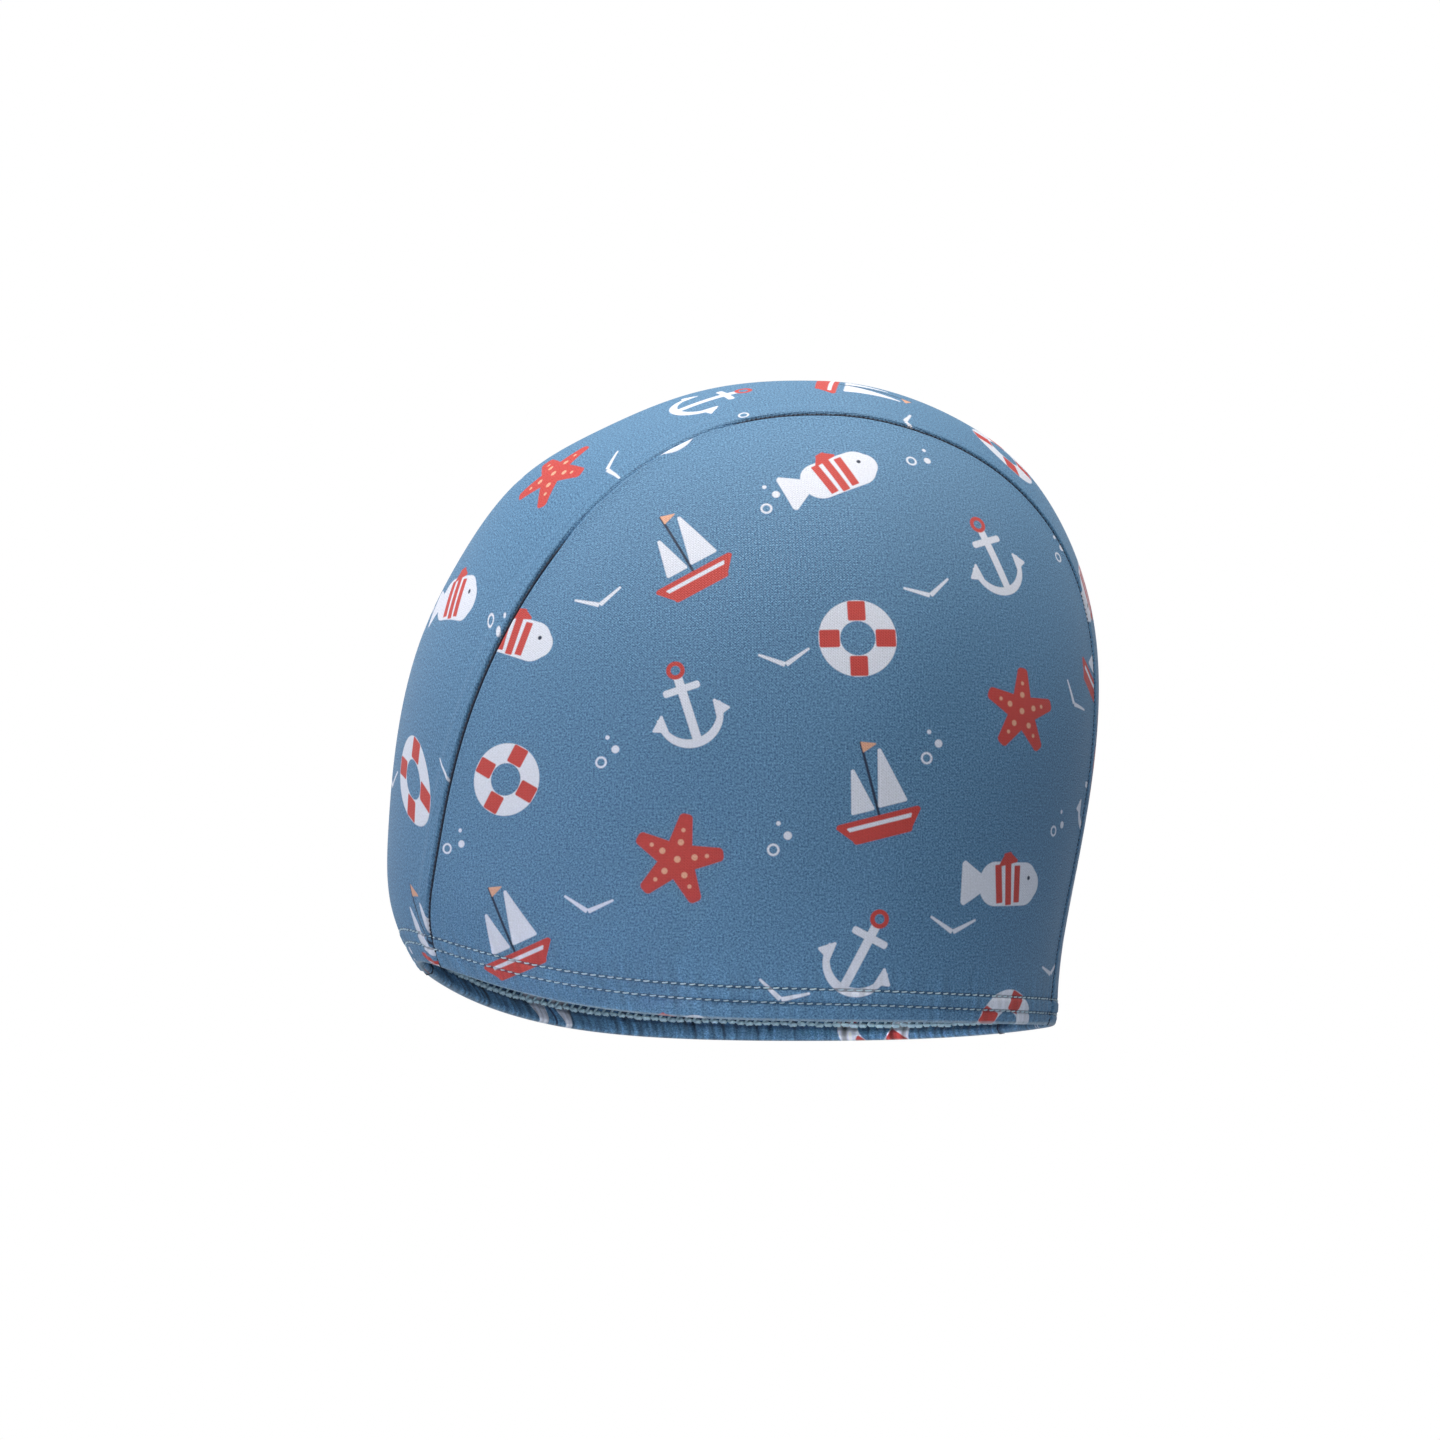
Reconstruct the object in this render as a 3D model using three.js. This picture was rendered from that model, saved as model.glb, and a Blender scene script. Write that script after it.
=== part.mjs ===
// A child's swim cap of stretch knit: a centre panel from the front over the crown to the back,
// and a side panel on each side, with one turned-up hem. It has the shape that a head gives it.
// The front points along -Y, the wearer's left is +X, and Z = 0 is near the hem's lowest point.
import * as THREE from 'three';
import { mergeVertices } from 'three/addons/utils/BufferGeometryUtils.js';

// Driving dimensions, in millimetres
const clothThickness = 1.1;      // one layer of the knit
const hemHeight = 10;            // the turned-up hem, from its fold to its cut edge
const hemThickness = 2.3;        // both layers of the hem, sewn together
const allowanceWidth = 5;        // the seam allowance, inside the centre panel along each seam
const allowanceThickness = 1;    // how far the allowance stands in from the cloth
const stepWidth = 0.4;           // the slope at the edge of the hem and of the allowance
const seamGap = 0.34;            // between the edges of two panels
const seamDip = 0.35;            // how deep the seam line lies below the cloth
const seamShoulder = 2;          // how far from the seam the dip begins
const crownY = 19;               // the highest point of the crown

// The outside of the cap, level by level from the crown to the fold of the hem. front and back
// are the reaches from crownY along Y, side is half the breadth, and each has its own height.
const levels = [
  { front: 0, frontHeight: 160, back: 0, backHeight: 160, side: 0, sideHeight: 160 },
  { front: 31, frontHeight: 157.5, back: 17, backHeight: 157.5, side: 19, sideHeight: 157.5 },
  { front: 54.5, frontHeight: 147, back: 36.5, backHeight: 150, side: 37, sideHeight: 148 },
  { front: 75.5, frontHeight: 135.5, back: 52, backHeight: 138.5, side: 53, sideHeight: 133.5 },
  { front: 89, frontHeight: 116.5, back: 64.5, backHeight: 119, side: 64.5, sideHeight: 112 },
  { front: 100.5, frontHeight: 94, back: 70.5, backHeight: 94, side: 71.5, sideHeight: 86 },
  { front: 106, frontHeight: 69, back: 69.5, backHeight: 66, side: 74, sideHeight: 58 },
  { front: 107.5, frontHeight: 46, back: 64.5, backHeight: 39.5, side: 73.5, sideHeight: 32 },
  { front: 108, frontHeight: 27, back: 59.5, backHeight: 17.5, side: 71.5, sideHeight: 11.5 },
  { front: 100, frontHeight: 13, back: 58.5, backHeight: -2, side: 68, sideHeight: -3.5 },
];
const rimLevel = levels.length - 1;

// Half the width of the centre panel, station by station: station 9 is the front rim,
// 0 is abreast of the crown and -9 is the back rim.
const seamStations = [
  { halfWidth: 17 },      // front rim
  { halfWidth: 22 },
  { halfWidth: 28 },
  { halfWidth: 31.5 },    // brow
  { halfWidth: 35.5 },
  { halfWidth: 39 },
  { halfWidth: 40 },
  { halfWidth: 40 },
  { halfWidth: 35.5 },
  { halfWidth: 38 },      // crown
  { halfWidth: 38.5 },
  { halfWidth: 36 },
  { halfWidth: 32 },
  { halfWidth: 27.5 },
  { halfWidth: 27 },      // back of the head
  { halfWidth: 29 },
  { halfWidth: 29.5 },
  { halfWidth: 30 },
  { halfWidth: 31 },      // back rim
];

// Facets: steps along each seam, across the centre panel, and from the seam down to the hem
const seamSteps = 36;
const centreSteps = 12;
const sideSteps = 12;
const foldAngles = [0, 45, 90];  // round the fold of the hem, in degrees from its lowest line

// A smooth curve near the values of one column, at a place counted in rows. before(row) gives
// the value of a row that lies ahead of the table.
function columnAt(rows, column, place, before) {
  const last = rows.length - 1;
  const first = Math.max(0, Math.min(Math.floor(place), last - 1));
  const f = place - first;
  const valueAt = (row) => {
    if (row < 0) return before(row);
    if (row > last) return 2 * rows[last][column] - rows[2 * last - row][column];
    return rows[row][column];
  };
  const weights = [
    (1 - f) ** 3,
    3 * f ** 3 - 6 * f ** 2 + 4,
    -3 * f ** 3 + 3 * f ** 2 + 3 * f + 1,
    f ** 3,
  ];
  return weights.reduce((sum, weight, k) => sum + (weight * valueAt(first - 1 + k)) / 6, 0);
}

// A reach changes sign over the crown, and a height doesn't
const reachAt = (column, level) => columnAt(levels, column, level, (row) => -levels[-row][column]);
const heightAt = (column, level) => columnAt(levels, column, level, (row) => levels[-row][column]);

// How the height passes from the end (front or back) to the side as the turn goes round:
// the low sides reach far forward, and the rim rises late.
const lateRise = 0.75;

// A place on the cloth has two numbers: ahead, towards the front rim, and left, towards the
// wearer's left rim. Their distance from the crown is the level, and their angle is the turn.
function outsidePoint(place) {
  const level = Math.hypot(place.ahead, place.left);
  const turn = Math.atan2(place.left, place.ahead);
  const along = Math.cos(turn);
  const across = Math.sin(turn);
  const end = along > 0 ? 'front' : 'back';
  const share = along ** 2 * (1 - lateRise * across ** 2);
  const sideHeight = heightAt('sideHeight', level);
  const endHeight = heightAt(`${end}Height`, level);
  return new THREE.Vector3(
    reachAt('side', level) * across,
    crownY - reachAt(end, level) * along,
    sideHeight + (endHeight - sideHeight) * share,
  );
}

const placeAt = (level, turn) => ({ ahead: level * Math.cos(turn), left: level * Math.sin(turn) });
const levelOf = (place) => Math.hypot(place.ahead, place.left);
const turnOf = (place) => Math.atan2(place.left, place.ahead);

// The direction in which the cloth runs as one of the two numbers of a place grows
function clothDirection(place, key) {
  const step = 0.01;
  const from = outsidePoint({ ...place, [key]: place[key] - step });
  const to = outsidePoint({ ...place, [key]: place[key] + step });
  return to.sub(from).normalize();
}

const outwardAt = (place) =>
  clothDirection(place, 'ahead').cross(clothDirection(place, 'left')).normalize();

function bisect(sign, low, high) {
  let [a, b] = [low, high];
  for (let i = 0; i < 50; i++) {
    const middle = (a + b) / 2;
    if (sign(middle) > 0) b = middle;
    else a = middle;
  }
  return (a + b) / 2;
}

// How far a place lies outside the centre panel, across the cap
function beyondSeam(place) {
  const station = rimLevel - place.ahead;
  const ahead = (row) => 2 * seamStations[0].halfWidth - seamStations[-row].halfWidth;
  return outsidePoint(place).x - columnAt(seamStations, 'halfWidth', station, ahead);
}

// The left seam at a station, and where it crosses a level near its front or back foot
function seamAtStation(ahead) {
  const left = bisect((value) => beyondSeam({ ahead, left: value }), 0, rimLevel);
  return { ahead, left };
}

function seamAtLevel(level, isFront) {
  const placeOff = (turn) => placeAt(level, isFront ? turn : Math.PI - turn);
  return placeOff(bisect((turn) => beyondSeam(placeOff(turn)), 0, Math.PI / 2));
}

// The level that lies a distance up the cloth from the rim
function levelAboveRim(turn, distance) {
  const near = 0.6;
  const rim = outsidePoint(placeAt(rimLevel, turn));
  const spacing = rim.distanceTo(outsidePoint(placeAt(rimLevel - near, turn))) / near;
  return rimLevel - distance / spacing;
}

// The rows of the hem, from the lowest line of its fold to the cloth just above it. outer and
// inner are the depths of the two faces below the outside of the cap.
const foldRadius = hemThickness / 2;
const hemRows = [
  ...foldAngles.map((degrees) => {
    const angle = THREE.MathUtils.degToRad(degrees);
    return {
      up: foldRadius * (1 - Math.cos(angle)),
      outer: foldRadius * (1 - Math.sin(angle)),
      inner: foldRadius * (1 + Math.sin(angle)),
    };
  }),
  { up: hemHeight / 2, outer: 0, inner: hemThickness },
  { up: hemHeight, outer: 0, inner: hemThickness },
  { up: hemHeight + stepWidth, outer: 0, inner: clothThickness },
];

const mix = (a, b, t) => a + (b - a) * t;

// The two seam feet of a hem row, with the row's own depths
function seamFoot(row, isFront) {
  const level = levelAboveRim(isFront ? 0 : Math.PI, row.up);
  return { ...seamAtLevel(level, isFront), row };
}

// Every place along the left seam, from the front rim over the top to the back rim
const frontFeet = hemRows.map((row) => seamFoot(row, true));
const backFeet = hemRows.map((row) => seamFoot(row, false));
const clothRow = { outer: 0, inner: clothThickness };
const frontTop = frontFeet.at(-1);
const backTop = backFeet.at(-1);
const middleSeam = Array.from({ length: seamSteps - 1 }, (_, i) => {
  const ahead = mix(frontTop.ahead, backTop.ahead, (i + 1) / seamSteps);
  return { ...seamAtStation(ahead), row: clothRow };
});
const seam = [...frontFeet, ...middleSeam, ...[...backFeet].reverse()];

// A row across the centre panel runs at one level near the rims and straight over the crown
const straightAbove = 4;
const levelBelow = 7.5;

function centrePlace(seamPlace, share) {
  const level = levelOf(seamPlace);
  const turn = Math.atan2(seamPlace.left, Math.abs(seamPlace.ahead));
  const isFront = seamPlace.ahead > 0;
  const curved = placeAt(level, isFront ? turn * share : Math.PI - turn * share);
  const blend = THREE.MathUtils.smoothstep(level, straightAbove, levelBelow);
  return {
    ahead: mix(seamPlace.ahead, curved.ahead, blend),
    left: mix(seamPlace.left * share, curved.left, blend),
  };
}

// One corner of a panel's grid: the outer and inner point at a place. atSeam is -1 or 1 on the
// seam, where the point steps back from the seam line and dips, and extra is the allowance.
function corner(place, row, { atSeam = 0, extra = 0 } = {}) {
  const outward = outwardAt(place);
  const base = outsidePoint(place);
  if (atSeam !== 0) base.addScaledVector(clothDirection(place, 'left'), (atSeam * seamGap) / 2);
  const dip = atSeam === 0 ? 0 : seamDip;
  const isFolding = row.outer > 0;
  return {
    outer: base.clone().addScaledVector(outward, -(row.outer + (isFolding ? 0 : dip))),
    inner: base.clone().addScaledVector(outward, -(row.inner + (isFolding ? 0 : dip + extra))),
  };
}

// Shares of the half width at which the centre panel has its lines: evenly in the middle, then
// the allowance's edge, the shoulder and the seam itself.
function centreGrid() {
  return seam.map((seamPlace) => {
    const halfWidth = outsidePoint(seamPlace).x;
    const lines = [];
    for (let i = 0; i <= centreSteps / 2; i++) {
      const inside = 1 - (allowanceWidth + stepWidth) / halfWidth;
      lines.push({ share: (inside * i) / (centreSteps / 2), extra: 0, atSeam: 0 });
    }
    const extra = seamPlace.row === clothRow ? allowanceThickness : 0;
    lines.push({ share: 1 - allowanceWidth / halfWidth, extra, atSeam: 0 });
    lines.push({ share: 1 - seamShoulder / halfWidth, extra, atSeam: 0 });
    lines.push({ share: 1, extra, atSeam: -1 });
    const leftHalf = lines.map((line) =>
      corner(centrePlace(seamPlace, line.share), seamPlace.row, line));
    const rightHalf = leftHalf.slice(1).reverse().map(mirrored);
    return [...rightHalf, ...leftHalf];
  });
}

const mirroredPoint = (point) => new THREE.Vector3(-point.x, point.y, point.z);
const mirrored = ({ outer, inner }) => ({ outer: mirroredPoint(outer), inner: mirroredPoint(inner) });

// The left side panel: hem rows run from seam foot to seam foot, and above them the grid fans
// out between the hem and the arch of the seam.
function sideGrid() {
  const grid = hemRows.map((row, i) =>
    Array.from({ length: seamSteps + 1 }, (_, j) => {
      const turn = mix(turnOf(frontFeet[i]), turnOf(backFeet[i]), j / seamSteps);
      const level = mix(levelAboveRim(0, row.up), levelAboveRim(Math.PI, row.up), j / seamSteps);
      const isEnd = j === 0 || j === seamSteps;
      return corner(placeAt(level, turn), row, { atSeam: isEnd ? 1 : 0 });
    }));
  const archPlaces = [frontTop, ...middleSeam, backTop];
  const shoulderShare = 0.985;
  const shares = Array.from({ length: sideSteps - 1 }, (_, i) => (i + 1) / sideSteps);
  for (const share of [...shares, shoulderShare, 1]) {
    grid.push(archPlaces.map((top, j) => {
      const part = j / seamSteps;
      const hemTurn = mix(turnOf(frontTop), turnOf(backTop), part);
      const hemLevel = mix(levelOf(frontTop), levelOf(backTop), part);
      const level = mix(hemLevel, levelOf(top), share);
      const turn = mix(hemTurn, turnOf(top), share);
      const isEnd = share === 1 || j === 0 || j === seamSteps;
      return corner(placeAt(level, turn), hemRows.at(-1), { atSeam: isEnd ? 1 : 0 });
    }));
  }
  return grid;
}

// A closed solid from a grid of corners: the outer and inner faces, and the walls round the edge
function solidFrom(grid) {
  const points = [];
  const triangle = (a, b, c) => points.push(a, b, c);
  const quad = (a, b, c, d) => {
    triangle(a, b, c);
    triangle(a, c, d);
  };
  const lastRow = grid.length - 1;
  const lastColumn = grid[0].length - 1;
  for (let i = 0; i < lastRow; i++) {
    for (let j = 0; j < lastColumn; j++) {
      const [a, b, c, d] = [grid[i][j], grid[i][j + 1], grid[i + 1][j + 1], grid[i + 1][j]];
      quad(a.outer, b.outer, c.outer, d.outer);
      quad(a.inner, d.inner, c.inner, b.inner);
    }
  }
  const edge = [
    ...grid[0].slice(0, -1),
    ...grid.slice(0, -1).map((row) => row[lastColumn]),
    ...grid[lastRow].slice(1).reverse(),
    ...grid.slice(1).reverse().map((row) => row[0]),
  ];
  edge.forEach((here, i) => {
    const next = edge[(i + 1) % edge.length];
    quad(here.outer, here.inner, next.inner, next.outer);
  });
  const loose = new THREE.BufferGeometry().setFromPoints(points);
  const merged = mergeVertices(loose, 1e-3);
  const index = merged.getIndex().array;
  const kept = [];
  for (let i = 0; i < index.length; i += 3) {
    const [a, b, c] = index.slice(i, i + 3);
    if (a !== b && b !== c && c !== a) kept.push(a, b, c);
  }
  merged.setIndex(signedVolume(merged, kept) > 0 ? kept : kept.reverse());
  merged.computeVertexNormals();
  return merged;
}

function signedVolume(geometry, index) {
  const position = geometry.getAttribute('position');
  const [a, b, c] = [new THREE.Vector3(), new THREE.Vector3(), new THREE.Vector3()];
  let volume = 0;
  for (let i = 0; i < index.length; i += 3) {
    a.fromBufferAttribute(position, index[i]);
    b.fromBufferAttribute(position, index[i + 1]);
    c.fromBufferAttribute(position, index[i + 2]);
    volume += a.dot(b.cross(c)) / 6;
  }
  return volume;
}

function panel(name, grid, colour) {
  const knit = new THREE.MeshStandardMaterial({ color: colour, roughness: 0.85, metalness: 0 });
  const mesh = new THREE.Mesh(solidFrom(grid), knit);
  mesh.name = name;
  return mesh;
}

const leftGrid = sideGrid();
const rightGrid = leftGrid.map((row) => row.map(mirrored));

const group = new THREE.Group();
group.add(panel('centre_panel', centreGrid(), 0x6f96b8));
group.add(panel('side_panel_left', leftGrid, 0x5f88ad));
group.add(panel('side_panel_right', rightGrid, 0x5f88ad));

export default group;
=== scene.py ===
from functools import partial
import math

import bmesh
import bpy
import numpy as np
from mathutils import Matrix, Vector
from mathutils.kdtree import KDTree


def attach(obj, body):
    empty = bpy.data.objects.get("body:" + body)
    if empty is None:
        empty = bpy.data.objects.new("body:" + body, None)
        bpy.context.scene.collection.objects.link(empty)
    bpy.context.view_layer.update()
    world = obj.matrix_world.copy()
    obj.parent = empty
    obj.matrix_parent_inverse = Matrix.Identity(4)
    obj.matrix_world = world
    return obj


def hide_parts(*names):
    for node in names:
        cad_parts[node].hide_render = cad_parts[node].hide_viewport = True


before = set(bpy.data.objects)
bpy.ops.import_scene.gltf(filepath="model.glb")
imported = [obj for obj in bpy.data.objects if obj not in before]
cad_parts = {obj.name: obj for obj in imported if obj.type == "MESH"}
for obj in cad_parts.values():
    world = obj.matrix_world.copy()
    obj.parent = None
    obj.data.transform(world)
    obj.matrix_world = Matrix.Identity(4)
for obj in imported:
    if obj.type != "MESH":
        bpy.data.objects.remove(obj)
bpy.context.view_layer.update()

mm = 0.001  # sizes below are in millimetres, and a mesh is written in metres

# The camera comes first: the photograph is taken from the wearer's left and a little from below
view = {
    "azimuth": 82.0,         # degrees, from straight behind towards the wearer's left
    "elevation": -4.5,
    "distance": 1800.0,      # to the aim
    "aim": (0.0, 0.0, 75.0),
    "aimRight": 5.73,        # the aim lies this far right of the middle of the picture
    "aimUp": 0.75,
    "sensor": 36.0,
    "lens": 180.72,
}


def addObject(name, data):
    added = bpy.data.objects.new(name, data)
    bpy.context.scene.collection.objects.link(added)
    return added


def addCamera():
    azimuth = math.radians(view["azimuth"])
    elevation = math.radians(view["elevation"])
    level = Vector((math.sin(azimuth), -math.cos(azimuth), 0))
    back = level * math.cos(elevation) + Vector((0, 0, math.sin(elevation)))
    right = Vector((math.cos(azimuth), math.sin(azimuth), 0))
    up = back.cross(right)
    place = Vector(view["aim"]) + back * view["distance"]
    place -= right * view["aimRight"] + up * view["aimUp"]
    data = bpy.data.cameras.new("camera")
    data.lens = view["lens"]
    data.sensor_width = view["sensor"]
    camera = addObject("camera", data)
    camera.location = place * mm
    camera.rotation_euler = back.to_track_quat("Z", "Y").to_euler()
    bpy.context.scene.camera = camera


addCamera()
print("camera placed")

# The outside of the cap, level by level from the crown (0) to the fold of the hem (9). front and
# back are the reaches from crownY along Y, side is half the breadth, and each has its own height.
crownY = 19.0
lateRise = 0.75  # how late the rim rises from the sides to the brow
levels = {
    "front": [0, 31, 54.5, 75.5, 89, 100.5, 106, 107.5, 108, 100],
    "frontHeight": [160, 157.5, 147, 135.5, 116.5, 94, 69, 46, 27, 13],
    "back": [0, 17, 36.5, 52, 64.5, 70.5, 69.5, 64.5, 59.5, 58.5],
    "backHeight": [160, 157.5, 150, 138.5, 119, 94, 66, 39.5, 17.5, -2],
    "side": [0, 19, 37, 53, 64.5, 71.5, 74, 73.5, 71.5, 68],
    "sideHeight": [160, 157.5, 148, 133.5, 112, 86, 58, 32, 11.5, -3.5],
}
rimLevel = 9
mirrored = np.array([-1.0, 1, 1])  # takes the left half of the cap to the right
# Half the width of the centre panel, station by station from the front rim over the crown
seamHalfWidths = [17, 22, 28, 31.5, 35.5, 39, 40, 40, 35.5, 38, 38.5, 36, 32, 27.5, 27, 29, 29.5, 30, 31]

cloth = {
    "thickness": 0.75,         # one layer of the knit
    "foldRadius": 1.15,        # outside, at the lowest line of the hem
    "pressedDepth": 1.7,       # both layers, where the stitches hold them together
    "pressedFrom": 1.6,        # above the fold, where the layers begin to close
    "upperRow": 7.9,           # the upper row of stitches above the fold, at the sides
    "upperRowFront": 1.6,      # added at the front and taken off at the back
    "rowSpacing": 3.5,         # between the two needles
    "beyondRow": 1.3,          # from the upper row to the cut edge inside
    "grooveDepth": 0.3,        # of each row
    "grooveWidth": 0.42,
    "grooveInside": 0.16,      # depth and width of the rows on the inner layer
    "grooveWidthInside": 0.6,
    "bandRise": 0.22,          # the cloth between the rows stands up
    "bandEdge": 0.9,
    "belowRise": 0.5,          # share of it below the rows, from these heights to short of the row
    "belowStart": (0.6, 2.2),
    "belowEnd": 1.2,
    "cutEdgeRise": 0.3,        # share over the cut edge inside, up to these heights past the row
    "cutEdgeStart": (1.2, 2.4),
    "cutEdgeEnd": (0.2, 1.6),
    "puckerPitch": 3.1,
    "puckerHeight": 0.11,      # outside
    "puckerHeightInside": 0.42,
    "puckerStart": (0.8, 2.5),  # above the fold, outside and inside
    "puckerStartInside": (0.8, 3.2),
    "puckerAtFold": 0.25,      # share of their height there
    "puckerShift": 0.7,        # those inside lie this far along from those outside
    "puckerFade": 2.6,         # above the upper row
    "seamDepth": 0.75,         # of the groove along a seam
    "seamWidth": 0.5,
    "seamRoll": 0.16,          # the cloth beside the groove stands up
    "closedRoll": 0.3,         # more, where it closes over the thread
    "seamGap": 0.5,            # between the edges of two panels, filled by the thread
    "gapShut": 0.96,           # how much of it shuts where the cloth closes over the thread
    "allowanceWidth": 4.6,     # the seam allowance, under the centre panel
    "allowanceRise": 0.34,     # and how far it lifts the cloth above it
    "undulation": 0.12,
    "sectionTop": 11.6,        # where the rows of the hem's section end, above the fold
    "pullEnds": (14, 24),      # above the fold, where the last of the stitches' pull dies away
}


def columnAt(values, place, sign):
    # A smooth curve near a column's values; sign says how a row ahead of the table mirrors
    last = len(values) - 1
    first = np.clip(np.floor(place), 0, last - 1).astype(int)
    f = place - first
    before = sign * values[1] if sign else 2 * values[0] - values[1]
    row = np.array([before, *values, 2 * values[-1] - values[-2]], float)
    weights = ((1 - f) ** 3, 3 * f**3 - 6 * f**2 + 4, -3 * f**3 + 3 * f**2 + 3 * f + 1, f**3)
    return sum(weight * row[first + k] for k, weight in enumerate(weights)) / 6


def outsidePoint(ahead, left):
    # A place on the cloth has two numbers: ahead, towards the front rim, and left
    level = np.hypot(ahead, left)
    turn = np.arctan2(left, ahead)
    along = np.cos(turn)
    across = np.sin(turn)
    isFront = along > 0
    share = along**2 * (1 - lateRise * across**2)
    reach = np.where(isFront, columnAt(levels["front"], level, -1), columnAt(levels["back"], level, -1))
    endHeight = np.where(
        isFront, columnAt(levels["frontHeight"], level, 1), columnAt(levels["backHeight"], level, 1)
    )
    sideHeight = columnAt(levels["sideHeight"], level, 1)
    x = columnAt(levels["side"], level, -1) * across
    y = crownY - reach * along
    z = sideHeight + (endHeight - sideHeight) * share
    return np.stack([x, y, z], axis=-1)


def unit(vectors):
    return vectors / np.maximum(np.linalg.norm(vectors, axis=-1, keepdims=True), 1e-9)


def clothDirections(ahead, left):
    step = 0.01
    forward = outsidePoint(ahead + step, left) - outsidePoint(ahead - step, left)
    sideways = outsidePoint(ahead, left + step) - outsidePoint(ahead, left - step)
    return unit(forward), unit(sideways)


def outwardAt(ahead, left):
    forward, sideways = clothDirections(ahead, left)
    return unit(np.cross(forward, sideways))


def beyondSeam(ahead, left):
    return outsidePoint(ahead, left)[..., 0] - columnAt(seamHalfWidths, rimLevel - ahead, 0)


def bisect(sign, low, high):
    low, high = low.copy(), high.copy()
    for step in range(44):
        middle = (low + high) / 2
        isHigh = sign(middle) > 0
        high = np.where(isHigh, middle, high)
        low = np.where(isHigh, low, middle)
    return (low + high) / 2


def placeAt(level, turn):
    return level * np.cos(turn), level * np.sin(turn)


def pointAt(level, turn):
    return outsidePoint(*placeAt(level, turn))


def seamAtStation(ahead):
    low = np.zeros_like(ahead)
    return bisect(lambda left: beyondSeam(ahead, left), low, low + rimLevel)


def seamAtLevel(level, isFront):
    # The turn at which the left seam crosses a level, near its front or back foot
    def turnOff(turn):
        return turn if isFront else math.pi - turn

    low = np.zeros_like(level)
    turn = bisect(lambda t: beyondSeam(*placeAt(level, turnOff(t))), low, low + math.pi / 2)
    return turnOff(turn)


def levelAboveRim(turn, distance):
    near = 0.6
    rim = pointAt(rimLevel, turn)
    above = pointAt(rimLevel - near, turn)
    return rimLevel - distance * near / np.linalg.norm(rim - above, axis=-1)


def smoothStep(x, low, high):
    t = np.clip((x - low) / (high - low), 0, 1)
    return t * t * (3 - 2 * t)


def bump(x, width):
    return np.exp(-((x / width) ** 2))


def mix(a, b, t):
    return a + (b - a) * t


def upperRowAt(turn):
    return cloth["upperRow"] + cloth["upperRowFront"] * np.cos(turn)


# Distance round the hem, measured from the front, so that puckers and stitches keep their pitch
hemTurns = np.linspace(0, math.pi, 1441)
hemPoints = pointAt(levelAboveRim(hemTurns, 6.0), hemTurns)
hemRun = np.concatenate([[0], np.cumsum(np.linalg.norm(np.diff(hemPoints, axis=0), axis=1))])


def alongHem(turn):
    return np.interp(turn, hemTurns, hemRun)


def puckers(along):
    # Ridges across the hem, whose pitch and height drift
    pitch = cloth["puckerPitch"]
    phase = 2 * math.pi * along / pitch + 1.6 * np.sin(along / 11) + 0.9 * np.sin(along / 4.3 + 1)
    return np.sin(phase) * (0.62 + 0.38 * np.sin(along / 15.7 + 0.6))


def undulation(points):
    x, y, z = points[..., 0], points[..., 1], points[..., 2]
    wave = np.sin(y / 13 + z / 31) * np.sin(z / 17 + x / 23 + 1.3) + 0.5 * np.sin(y / 7.1 - z / 9.3)
    return cloth["undulation"] * wave


def hemRelief(up, turn):
    # How far the outer layer of the hem stands out: grooves of the rows, the band between, puckers
    upper = upperRowAt(turn)
    lower = upper - cloth["rowSpacing"]
    along = alongHem(turn)
    rows = bump(up - upper, cloth["grooveWidth"]) + bump(up - lower, cloth["grooveWidth"])
    edge = cloth["bandEdge"]
    band = smoothStep(up, lower, lower + edge) * (1 - smoothStep(up, upper - edge, upper))
    below = smoothStep(up, *cloth["belowStart"]) * (1 - smoothStep(up, lower - cloth["belowEnd"], lower))
    cutEdge = smoothStep(up, *cloth["cutEdgeStart"]) * (1 - smoothStep(up - upper, *cloth["cutEdgeEnd"]))
    shares = band + cloth["belowRise"] * below + cloth["cutEdgeRise"] * cutEdge
    near = np.exp(-np.maximum(up - upper, 0) / cloth["puckerFade"])
    near = near * smoothStep(up, *cloth["puckerStart"])
    relief = cloth["bandRise"] * shares - cloth["grooveDepth"] * rows
    return relief + cloth["puckerHeight"] * puckers(along) * near


# The seam: where it lies on the cloth, and how the cloth dips and rises beside it
seamStretch = {"from": 3.05, "to": 1.1}  # the stations between which the cloth closes over the thread
seamProfile = {
    "filled": 0.75,             # share of the groove that is filled where the cloth closes over it
    "rollAt": 1.1,              # off the seam, each with its width
    "rollWidth": 0.7,
    "closedRollAt": 0.5,
    "closedRollWidth": 0.55,
    "outerRoll": 0.1,           # a second, lower roll on the side panel
    "outerRollAt": 2.0,
    "outerRollWidth": 1.4,
    "centreShare": 0.6,         # of the first roll, on the centre panel
    "liftStart": (0.2, 1.2),    # off the seam, where the allowance begins to lift the cloth
    "liftEnd": (-0.9, 1.4),     # past its width, where that ends
}


def seamPath():
    # Every place along the left seam, from the front rim over the top to the back rim
    frontLevels = np.linspace(rimLevel, 7.6, 30)
    frontTurns = seamAtLevel(frontLevels, True)
    backTurns = seamAtLevel(frontLevels, False)
    frontAhead, frontLeft = placeAt(frontLevels, frontTurns)
    backAhead, backLeft = placeAt(frontLevels, backTurns)
    middleAhead = np.linspace(frontAhead[-1], backAhead[-1], 700)[1:-1]
    middleLeft = seamAtStation(middleAhead)
    ahead = np.concatenate([frontAhead, middleAhead, backAhead[::-1]])
    left = np.concatenate([frontLeft, middleLeft, backLeft[::-1]])
    return ahead, left


seamAhead, seamLeft = seamPath()
seamPoints = outsidePoint(seamAhead, seamLeft)
seamTree = KDTree(len(seamPoints))
for index, point in enumerate(seamPoints):
    seamTree.insert(point, index)
seamTree.balance()


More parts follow.
